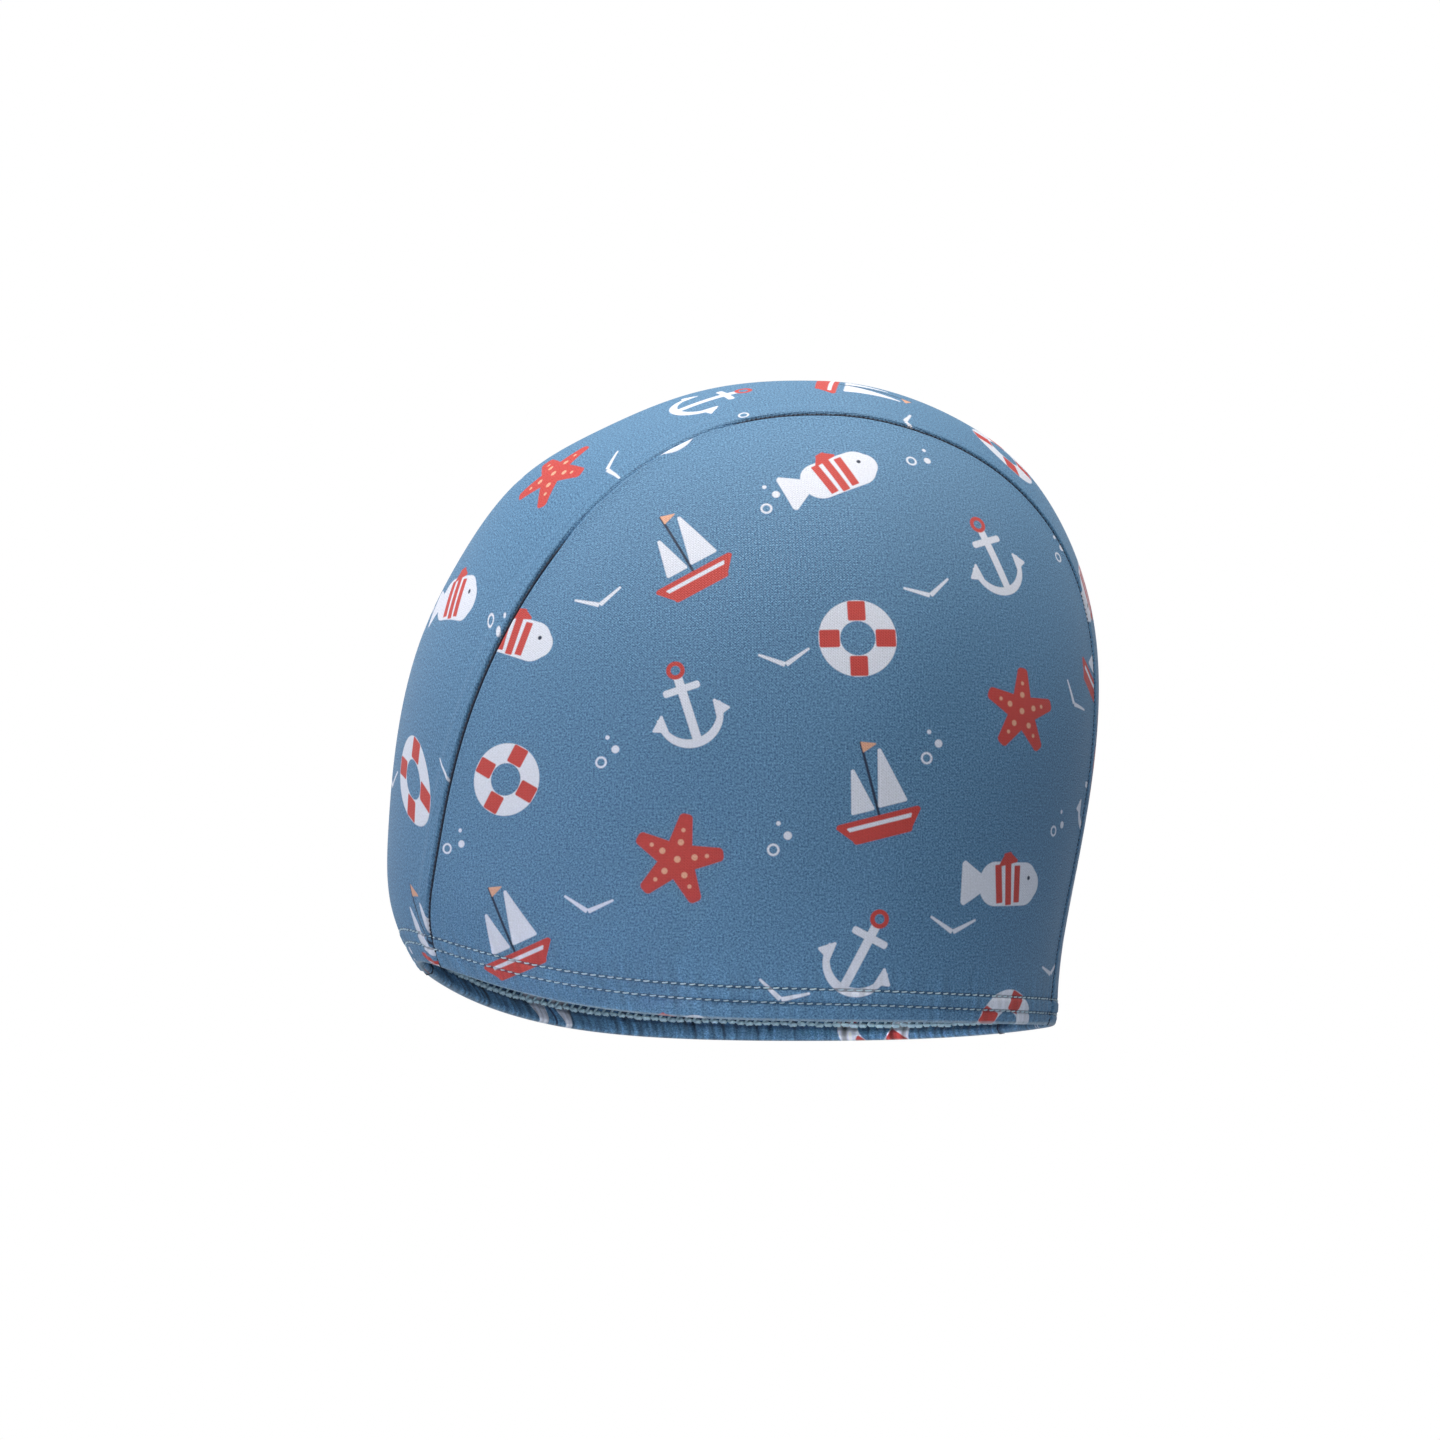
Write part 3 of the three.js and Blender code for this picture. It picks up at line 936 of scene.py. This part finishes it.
def hemMarks(add, colour, up, aboveRow, along):
    # Painted shade along both stitch rows, wider inside where it stands for the shadow behind the
    # loopers, and a painted highlight along the fold
    inside = add("LESS_THAN", up, 0.0)
    wider = knit["rowInside"] - knit["row"]
    width = add("MULTIPLY_ADD", inside, wider, knit["row"])
    for offset in (0.0, cloth["rowSpacing"]):
        off = add("ADD", aboveRow, offset)
        distance = add("ABSOLUTE", off)
        away = add("DIVIDE", distance, width)
        # painted shade, darkest over the middle of the row
        shade = add("MULTIPLY_ADD", away, -2.0, 2.5, use_clamp=True)
        part = add("MULTIPLY", shade, knit["rowPart"])
        colour = add(**colourMix, named={0: part, 6: colour, 7: linear(knit["rowShade"])})
    # A painted highlight: a pale, patchy line along the fold
    across = add("ShaderNodeCombineXYZ", along, up)
    patchy = add("ShaderNodeTexNoise", named={"Vector": across, "Scale": 0.35, "Detail": 4.0})
    off = add("SUBTRACT", up, 0.35)
    away = add("ABSOLUTE", off)
    near = add("MULTIPLY_ADD", away, -2.5, 1.5, use_clamp=True)
    foldHighlightShare = add("MULTIPLY", near, patchy)
    return add(**colourMix, named={0: foldHighlightShare, 6: colour, 7: linear(knit["foldHighlight"])})


def puckerPaintedShade(add, up, along, isInside):
    # Painted light and shade of the puckers where the stitches gather the hem: strong inside, faint
    # outside and above
    across = add("MULTIPLY", along, 1 / knit["gather"])
    tall = add("MULTIPLY", up, 0.06)
    streaks = add("ShaderNodeCombineXYZ", across, tall)
    noise = add("ShaderNodeTexNoise", named={"Vector": streaks, "Scale": 1.0, "Detail": 1.0})
    swing = add("SUBTRACT", noise, 0.5)
    fade = add("ShaderNodeMapRange", up, *knit["gatherEnds"], knit["gatherTone"], 0.0)
    strength = add("ShaderNodeMix", named={0: isInside, 2: fade, 3: knit["gatherToneInside"]})
    return add("MULTIPLY_ADD", swing, strength, 1.0)


def printedKnit():
    # Polyester and elastane jersey, dyed blue and screen printed: matt, with a fine grain of
    # stitches and a soft bloom where the light grazes the fibres
    material, add = newMaterial("printed_polyester_knit")
    place = add("ShaderNodeAttribute", attribute_name="printPlace", out="Vector")
    hem = add("ShaderNodeAttribute", attribute_name="hemPlace", out="Vector")
    along, up, aboveRow = add("ShaderNodeSeparateXYZ", hem, out=None)
    isInside = add("LESS_THAN", up, 0.0)
    weave = add("ShaderNodeMix", named={0: isInside, 4: place, 5: hem}, out=1, data_type="VECTOR")
    shapeGroup = inkShapeGroup()
    fleck = add(
        "ShaderNodeTexNoise", out=0,
        named={"Vector": weave, "Scale": 1 / knit["fleck"], "Detail": 3.0, "Roughness": 0.7},
    )
    spread = add("ShaderNodeMapRange", fleck, *knit["fleckEnds"], 0.0, 1.0)
    colours = {0: spread, 6: linear(knit["fleckShade"]), 7: linear(knit["fleckLight"])}
    bareCloth = add(**colourMix, named=colours)
    colour = bareCloth
    local, column, row = cellPlace(add, place, printDesign["start"], printDesign["seed"])
    twice = add("MULTIPLY_ADD", column, 2.0, row)
    kind = add("FLOORED_MODULO", twice, float(len(motifs)))
    colour = paintMotifs(add, colour, local, kind, motifs, shapeGroup, bareCloth)
    halfCell = (printDesign["cellWidth"] / 2, printDesign["cellHeight"] / 4, 0)
    between = tuple(a + b for a, b in zip(printDesign["start"], halfCell))
    local, column, row = cellPlace(add, place, between, printDesign["seed"] + 1)
    both = add("ADD", column, row)
    kind = add("FLOORED_MODULO", both, float(len(fillers)))
    colour = paintMotifs(add, colour, local, kind, fillers, shapeGroup, bareCloth)
    colour = hemMarks(add, colour, up, aboveRow, along)

    height = knitHeight(add, weave)
    contrast = knit["inkFleck"]
    # The grain of the flecks, with painted shade in the hollows of the knit's stitches, times the
    # puckers' painted light and shade
    light = add("MULTIPLY_ADD", fleck, contrast, 1 - contrast / 2)
    grainAndStitchShade = add("MULTIPLY_ADD", height, 0.05, light)
    tone = add("MULTIPLY", grainAndStitchShade, puckerPaintedShade(add, up, along, isInside))
    shaded = add("ShaderNodeVectorMath", named={0: colour, "Scale": tone}, operation="SCALE")
    relief = add("MULTIPLY_ADD", fleck, 0.5, height)
    bumped = {"Height": relief, "Distance": knit["relief"] * mm, "Strength": knit["bump"]}
    normal = add("ShaderNodeBump", named=bumped)
    shader = add("ShaderNodeBsdfPrincipled", named={
        "Base Color": shaded,
        "Roughness": knit["roughness"],
        "Specular IOR Level": knit["specular"],
        "Sheen Weight": knit["sheen"],
        "Sheen Roughness": 0.4,
        "Normal": normal,
    })
    add("ShaderNodeOutputMaterial", shader)
    return material


def knitWrongSide():
    # The back of the same jersey, where the dye shows through only palely
    material, add = newMaterial("polyester_knit_wrong_side")
    place = add("ShaderNodeAttribute", attribute_name="printPlace", out="Vector")
    height = knitHeight(add, place)
    fleck = add("ShaderNodeTexNoise", named={"Vector": place, "Scale": 0.7, "Detail": 3.0})
    colours = {0: fleck, 6: linear(knit["wrongShade"]), 7: linear(knit["wrongLight"])}
    tint = add(**colourMix, named=colours)
    normal = add("ShaderNodeBump", named={"Height": height, "Distance": knit["relief"] * mm})
    shader = add("ShaderNodeBsdfPrincipled", named={
        "Base Color": tint,
        "Roughness": knit["wrongRoughness"],
        "Specular IOR Level": 0.2,
        "Sheen Weight": 0.2,
        "Normal": normal,
    })
    add("ShaderNodeOutputMaterial", shader)
    return material


def threadMaterial(name, light, dark, roughness, sheen):
    # Textured polyester sewing thread: soft twisted fibres that catch a dull light
    material, add = newMaterial(name)
    place = add("ShaderNodeTexCoord", out="Object")
    fibres = add("ShaderNodeTexNoise", named={"Vector": place, "Scale": 2600.0, "Detail": 2.0})
    tint = add(**colourMix, named={0: fibres, 6: linear(dark), 7: linear(light)})
    normal = add("ShaderNodeBump", named={"Height": fibres, "Distance": 0.06 * mm})
    shader = add("ShaderNodeBsdfPrincipled", named={
        "Base Color": tint,
        "Roughness": roughness,
        "Sheen Weight": sheen,
        "Normal": normal,
    })
    add("ShaderNodeOutputMaterial", shader)
    return material


faceKnit = printedKnit()
wrongKnit = knitWrongSide()
needleThread = threadMaterial("polyester_needle_thread", "#d6e8f2", "#a3c3d6", 0.5, 0.1)
looperThread = threadMaterial("textured_looper_thread", "#cbe4f0", "#84acc4", 0.7, 0.2)
navyThread = threadMaterial("navy_seam_thread", "#1b2a45", "#0d1626", 0.6, 0.02)
print("materials ready")

leftGrid = sidePanelGrid()
clothMaterials = [faceKnit, wrongKnit]
centreCloth = addPiece(
    "centre_cloth", clothMesh("centre_cloth", centrePanelGrid(), (0, 0)), clothMaterials, ["centre_panel"]
)
leftCloth = addPiece(
    "side_cloth_left", clothMesh("side_cloth_left", leftGrid, (11, 23)), clothMaterials,
    ["side_panel_left"],
)
rightCloth = addPiece(
    "side_cloth_right", clothMesh("side_cloth_right", mirrorGrid(leftGrid), (94, 24)), clothMaterials,
    ["side_panel_right"],
)
print("cloth ready")


# Threads: each tree sets one stitch, again and again, along a path that carries the direction in
# which the cloth faces
def newGeometryTree(name, sizes):
    tree = bpy.data.node_groups.new(name, "GeometryNodeTree")
    tree.interface.new_socket("Path", in_out="INPUT", socket_type="NodeSocketGeometry")
    for size in sizes:
        tree.interface.new_socket(size, in_out="INPUT", socket_type="NodeSocketFloat")
    tree.interface.new_socket("Thread", in_out="INPUT", socket_type="NodeSocketMaterial")
    tree.interface.new_socket("Stitches", in_out="OUTPUT", socket_type="NodeSocketGeometry")
    add = partial(addNode, tree)
    return tree, add, add("NodeGroupInput", out=None)


def sweptThread(add, line, radius, sides=6):
    size = {"Resolution": sides, "Radius": radius}
    circle = add("GeometryNodeCurvePrimitiveCircle", named=size)
    swept = add("GeometryNodeCurveToMesh", line, circle, named={"Fill Caps": True})
    return add("GeometryNodeSetShadeSmooth", swept)


def setAlong(add, given, stitch):
    # One stitch at each pitch of the path, its X along the path and its Z the way the cloth faces
    line = add("GeometryNodeMeshToCurve", given["Path"])
    points = add(
        "GeometryNodeResampleCurve", named={"Curve": line, "Length": given["Pitch"]}, mode="LENGTH"
    )
    tangent = add("GeometryNodeInputTangent")
    facing = add("GeometryNodeInputNamedAttribute", named={"Name": "facing"}, data_type="FLOAT_VECTOR")
    onPath = add("FunctionNodeAlignRotationToVector", named={"Vector": tangent}, axis="X")
    upright = add(
        "FunctionNodeAlignRotationToVector", named={"Rotation": onPath, "Vector": facing},
        axis="Z", pivot_axis="X",
    )
    size = add("FunctionNodeRandomValue", data_type="FLOAT", out=1, named={2: 0.9, 3: 1.08, "Seed": 4})
    return add(
        "GeometryNodeInstanceOnPoints",
        named={"Points": points, "Instance": stitch, "Rotation": upright, "Scale": size},
    )


def closeTree(tree, given, pieces):
    add = partial(addNode, tree)
    whole = add("GeometryNodeJoinGeometry", pieces)
    real = add("GeometryNodeRealizeInstances", whole)
    named = {"Geometry": real, "Material": given["Thread"]}
    add("NodeGroupOutput", add("GeometryNodeSetMaterial", named=named))
    return tree


def archedThread(add, halfLength, sink, rise, across=0.0):
    # A short thread from one needle hole to the next: down at both ends, up in the middle
    minus = add("MULTIPLY", halfLength, -1.0)
    down = add("MULTIPLY", sink, -1.0)
    otherSide = add("MULTIPLY", across, -1.0)
    start = add("ShaderNodeCombineXYZ", minus, otherSide, down)
    end = add("ShaderNodeCombineXYZ", halfLength, across, down)
    high = add("MULTIPLY_ADD", rise, 2.0, sink)
    middle = add("ShaderNodeCombineXYZ", 0.0, 0.0, high)
    named = {"Resolution": 6, "Start": start, "Middle": middle, "End": end}
    return add("GeometryNodeCurveQuadraticBezier", named=named)


def needleStitchTree():
    sizes = ["Pitch", "Half Length", "Slant", "Radius", "Sink", "Rise"]
    tree, add, given = newGeometryTree("needleStitches", sizes)
    line = archedThread(add, given["Half Length"], given["Sink"], given["Rise"], given["Slant"])
    stitch = sweptThread(add, line, given["Radius"])
    return closeTree(tree, given, [setAlong(add, given, stitch)])


def looperTree():
    # A zigzag from row to row, and a fat loop round the needle thread on each row
    sizes = ["Pitch", "Half Pitch", "Half Width", "Radius", "Loop Radius", "Sink", "Rise"]
    tree, add, given = newGeometryTree("looperStitches", sizes)
    strand = archedThread(add, given["Half Pitch"], given["Sink"], given["Rise"], given["Half Width"])
    swept = sweptThread(add, strand, given["Radius"])
    half = add("MULTIPLY", given["Half Pitch"], 0.5)
    loop = sweptThread(add, archedThread(add, half, given["Sink"], given["Rise"]), given["Loop Radius"])
    parts = [swept]
    for side in (1.0, -1.0):
        off = add("MULTIPLY", given["Half Width"], side)
        shift = add("ShaderNodeCombineXYZ", 0.0, off, 0.0)
        moved = {"Geometry": loop, "Translation": shift}
        parts.append(add("GeometryNodeTransform", named=moved))
    stitch = add("GeometryNodeJoinGeometry", parts)
    return closeTree(tree, given, [setAlong(add, given, stitch)])


def ladderTree():
    # A cord down in the seam, and short slanting threads across it
    sizes = ["Pitch", "Slant", "Half Width", "Radius", "Cord Radius", "Sink", "Rise"]
    tree, add, given = newGeometryTree("seamLadder", sizes)
    rung = archedThread(add, given["Slant"], given["Sink"], given["Rise"], given["Half Width"])
    rungs = setAlong(add, given, sweptThread(add, rung, given["Radius"], 5))
    line = add("GeometryNodeMeshToCurve", given["Path"])
    cord = sweptThread(add, line, given["Cord Radius"], 8)
    return closeTree(tree, given, [rungs, cord])


def pathMesh(name, lines):
    # Each line is its points, the way the cloth faces at each, and whether it closes on itself
    points, facings, edges = [], [], []
    for line, facing, isClosed in lines:
        start = len(points)
        points.extend((line * mm).tolist())
        facings.extend(facing.tolist())
        edges.extend((start + k, start + k + 1) for k in range(len(line) - 1))
        if isClosed:
            edges.append((start + len(line) - 1, start))
    mesh = bpy.data.meshes.new(name)
    mesh.from_pydata(points, edges, [])
    attribute = mesh.attributes.new("facing", "FLOAT_VECTOR", "POINT")
    attribute.data.foreach_set("vector", np.array(facings, np.float32).ravel())
    return mesh


def sewn(name, tree, path, sizes, material):
    # Runs a tree on a path and keeps the plain mesh; sizes are named as the tree's inputs
    carrier = addObject(name + "_path", path)
    modifier = carrier.modifiers.new(name, "NODES")
    modifier.node_group = tree
    for socket in tree.interface.items_tree:
        if socket.item_type == "SOCKET" and socket.in_out == "INPUT":
            if socket.name in sizes:
                modifier[socket.identifier] = sizes[socket.name] * mm
            elif socket.name == "Thread":
                modifier[socket.identifier] = material
    evaluated = carrier.evaluated_get(bpy.context.evaluated_depsgraph_get())
    mesh = bpy.data.meshes.new_from_object(evaluated)
    mesh.materials.clear()
    bpy.data.objects.remove(carrier)
    return addPiece(name, mesh, [material])


def hemLoop(rowUp, offset, facingIn, samples=900):
    # A closed line round the whole hem, at a height above the fold and a distance off the cloth
    half = np.linspace(0, math.pi, samples)
    up = rowUp(half)
    ahead, left = placeAt(levelAboveRim(half, up), half)
    outward = outwardAt(ahead, left)
    line = outsidePoint(ahead, left) + outward * offset(up, half)[:, None]
    facing = -outward if facingIn else outward
    line, facing = (np.concatenate([part, part[-2:0:-1] * mirrored]) for part in (line, facing))
    return line, facing, True


hemThread = {
    "Pitch": 2.25,
    "Half Length": 0.68,
    "Slant": 0.09,
    "Radius": 0.175,
    "Sink": 0.14,
    "Rise": 0.2,
    "off": 0.08,     # how far the thread's own line lies off the bottom of its groove
}
hemRows = pathMesh("hemRows", [
    hemLoop(
        lambda turn: upperRowAt(turn) - below,
        lambda up, turn: hemRelief(up, turn) + hemThread["off"],
        False,
    )
    for below in (0, cloth["rowSpacing"])
])
hemStitches = sewn("hem_stitches", needleStitchTree(), hemRows, hemThread, needleThread)

hemLooper = {
    "Pitch": 2.3,
    "Half Pitch": 1.15,
    "Half Width": 1.75,
    "Radius": 0.32,
    "Loop Radius": 0.54,
    "Sink": 0.15,
    "Rise": 0.4,
}
loopLine = hemLoop(
    lambda turn: upperRowAt(turn) - cloth["rowSpacing"] / 2,
    lambda up, turn: 0 * up - cloth["pressedDepth"] - 0.15,
    True,
)
looperStitches = looperTree()
loopPath = pathMesh("loopLine", [loopLine])
hemLoopers = sewn("hem_loopers", looperStitches, loopPath, hemLooper, looperThread)

seamCord = {
    "Pitch": 1.15,
    "Slant": 0.4,
    "Half Width": 0.3,
    "Radius": 0.19,
    "Cord Radius": 0.3,
    "Sink": 0.02,
    "Rise": 0.3,
    "depth": 0.26,        # of the cord below the cloth
    "closedDepth": 0.9,   # more, where the cloth closes over it
}


def seamInHem(isFront):
    # The seam's way up the inner layer of the hem and round the fold: points and facings
    points, facings = [], []
    for row in hemSection(24, 9, 1, 2.0)[:-1]:
        level, turn = seamFoot(hemCorner(row, np.array([0.0 if isFront else math.pi]))[0], isFront)
        up, face, wrong = hemCorner(row, turn)
        ahead, left = placeAt(levelAboveRim(turn, up), turn)
        outward = outwardAt(ahead, left)[0]
        base = outsidePoint(ahead, left)[0]
        rise = unit(pointAt(level - 0.05, turn)[0] - base)
        angle = row.get("angle", math.pi / 2)
        facing = unit(-math.sin(angle) * outward - math.cos(angle) * rise)
        points.append(base - outward * face[0] - facing * seamCord["depth"] * 0.5)
        facings.append(facing)
    return np.array(points), np.array(facings)


def seamLine(side):
    outward = outwardAt(seamAhead, seamLeft)
    depth = seamCord["depth"] + seamCord["closedDepth"] * closedShare(seamAhead)
    onTop = np.minimum(*[np.linalg.norm(seamPoints - foot, axis=1) for foot in seamPoints[[0, -1]]]) > 1.3
    line = (seamPoints - outward * depth[:, None])[onTop]
    frontLine, frontFacing = seamInHem(True)
    backLine, backFacing = seamInHem(False)
    flip = np.array([side, 1, 1])
    whole = np.concatenate([frontLine, line, backLine[::-1]])
    facings = np.concatenate([frontFacing, outward[onTop], backFacing[::-1]])
    return whole * flip, facings * flip, False


ladder = ladderTree()
seamThreads = [
    sewn("seam_thread_" + name, ladder, pathMesh("seamLine", [seamLine(side)]), seamCord, navyThread)
    for name, side in (("left", 1.0), ("right", -1.0))
]


# Inside, the two panels' edges are turned under the centre panel and overlocked together
allowance = {
    "thickness": 0.85,
    "from": 0.3,       # off the seam
    "columns": 8,
    "rows": 420,
    "hemTop": 9.6,     # where the hem takes the allowance in
}


def allowanceGrid():
    rows, across = allowance["rows"], np.linspace(0, 1, allowance["columns"] + 1)
    inFront, inBack = (
        np.argmax(np.linalg.norm(points - points[0], axis=1) > allowance["hemTop"])
        for points in (seamPoints, seamPoints[::-1])
    )
    picks = np.linspace(inFront, len(seamPoints) - 1 - inBack, rows)
    ahead = np.interp(picks, np.arange(len(seamAhead)), seamAhead)
    left = np.interp(picks, np.arange(len(seamLeft)), seamLeft)
    halfWidth = outsidePoint(ahead, left)[:, 0]
    grid = ClothGrid(rows, len(across))
    edge = 1 - (2 * across - 1) ** 6
    for j, t in enumerate(across):
        distance = mix(allowance["from"], cloth["allowanceWidth"], t)
        share = 1 - distance / halfWidth
        placeLeft = left * share
        outward = outwardAt(ahead, placeLeft)
        base = outsidePoint(ahead, placeLeft)
        relief = 0.7 * seamRelief(np.full(rows, distance), ahead, True) - cloth["thickness"] - 0.04
        waviness = 0.08 * np.sin(picks / 3.1) * t
        thick = allowance["thickness"] * (0.35 + 0.65 * edge[j])
        grid.wrong[:, j] = base + outward * relief[:, None]
        grid.face[:, j] = base + outward * (relief - thick + waviness)[:, None]
        grid.printPlace[:, j, 0] = distance
        grid.printPlace[:, j, 1] = picks / 2
    return grid


leftAllowance = allowanceGrid()
allowanceGrids = {"left": leftAllowance, "right": mirrorGrid(leftAllowance)}
allowances = [
    addPiece("seam_allowance_" + name, clothMesh("allowance", grid, (0, 0)), [wrongKnit, wrongKnit])
    for name, grid in allowanceGrids.items()
]

overlock = {
    "Pitch": 2.4,
    "Half Pitch": 1.2,
    "Half Width": 1.35,
    "Radius": 0.17,
    "Loop Radius": 0.2,
    "Sink": 0.05,
    "Rise": 0.2,
    "column": 5,       # the column of the strip that the stitches follow
    "off": 0.08,       # how far off it they lie
}


def overlockLine(grid):
    line = grid.face[:, overlock["column"]]
    inward = unit(line - grid.wrong[:, overlock["column"]])
    return line + inward * overlock["off"], inward, False


overlocks = [
    sewn(
        "overlock_" + name, looperStitches, pathMesh("overlock", [overlockLine(grid)]), overlock,
        looperThread,
    )
    for name, grid in allowanceGrids.items()
]
print("threads ready")

stage = {
    "floorHeight": -250.0,
    "floorRadius": 6000.0,
    "floorColour": "#a2a8af",
    "roomColour": "#e5f3ff",
    "backdropTop": (0.19, 0.32),      # ends of the backdrop's edges, in the direction seen
    "backdropSide": (-0.72, -0.9),
    "roomEnds": (-0.6, 0.6),
    "roomTones": (0.5, 0.15),         # behind the cap and behind the camera
}


def addFloor():
    mesh = bpy.data.meshes.new("floor")
    work = bmesh.new()
    bmesh.ops.create_circle(work, cap_ends=True, segments=96, radius=stage["floorRadius"] * mm)
    bmesh.ops.translate(work, verts=work.verts, vec=(0, 0, stage["floorHeight"] * mm))
    work.to_mesh(mesh)
    work.free()
    material, add = newMaterial("studio_paper")
    shader = add(
        "ShaderNodeBsdfPrincipled",
        named={"Base Color": linear(stage["floorColour"]), "Roughness": 0.95, "Specular IOR Level": 0.1},
    )
    add("ShaderNodeOutputMaterial", shader)
    mesh.materials.append(material)
    addObject("floor", mesh)


def addWorld():
    # A white backdrop behind the cap, and a dimmer room round it that is darker towards the camera
    world = bpy.data.worlds.new("studio")
    world.use_nodes = True
    world.node_tree.nodes.clear()
    add = partial(addNode, world.node_tree)
    direction = add("ShaderNodeTexCoord", out="Generated")
    x, y, z = add("ShaderNodeSeparateXYZ", direction, out=None)
    low = add("ShaderNodeMapRange", z, *stage["backdropTop"], 1.0, 0.0)
    behind = add("ShaderNodeMapRange", x, *stage["backdropSide"], 0.0, 1.0)
    backdrop = add("MULTIPLY", low, behind)
    room = add("ShaderNodeMapRange", x, *stage["roomEnds"], *stage["roomTones"])
    drop = add("ShaderNodeMix", named={0: backdrop, 2: room, 3: 1.0})
    colours = {0: backdrop, 6: linear(stage["roomColour"]), 7: linear("#ffffff")}
    colour = add(**colourMix, named=colours)
    background = add("ShaderNodeBackground", named={"Color": colour, "Strength": drop})
    add("ShaderNodeOutputWorld", background)
    bpy.context.scene.world = world


lights = [
    {
        "name": "top", "colour": "#fffaee", "at": (500, 0, 2300), "towards": (0, 0, 75),
        "size": 900, "power": 66, "spread": 180,
    },
    {
        "name": "front", "colour": "#ffffff", "at": (300, -1900, 900), "towards": (0, 0, 75),
        "size": 900, "power": 19, "spread": 180,
    },
    {
        # low and narrow, so that it reaches under the rim to the inside of the far hem
        "name": "fill", "colour": "#ffffff", "at": (1950, -950, -200), "towards": (0, 0, -110),
        "size": 80, "power": 0.1, "spread": 9,
    },
]


def addLights():
    for light in lights:
        data = bpy.data.lights.new(light["name"], "AREA")
        data.shape = "DISK"
        data.size = light["size"] * mm
        data.color = linear(light["colour"])[:3]
        data.energy = light["power"]
        data.spread = math.radians(light["spread"])
        lamp = addObject(light["name"], data)
        place = Vector(light["at"])
        lamp.location = place * mm
        lamp.rotation_euler = (place - Vector(light["towards"])).to_track_quat("Z", "Y").to_euler()


addFloor()
addWorld()
addLights()
bpy.context.scene.view_settings.view_transform = "Standard"
print("stage ready")
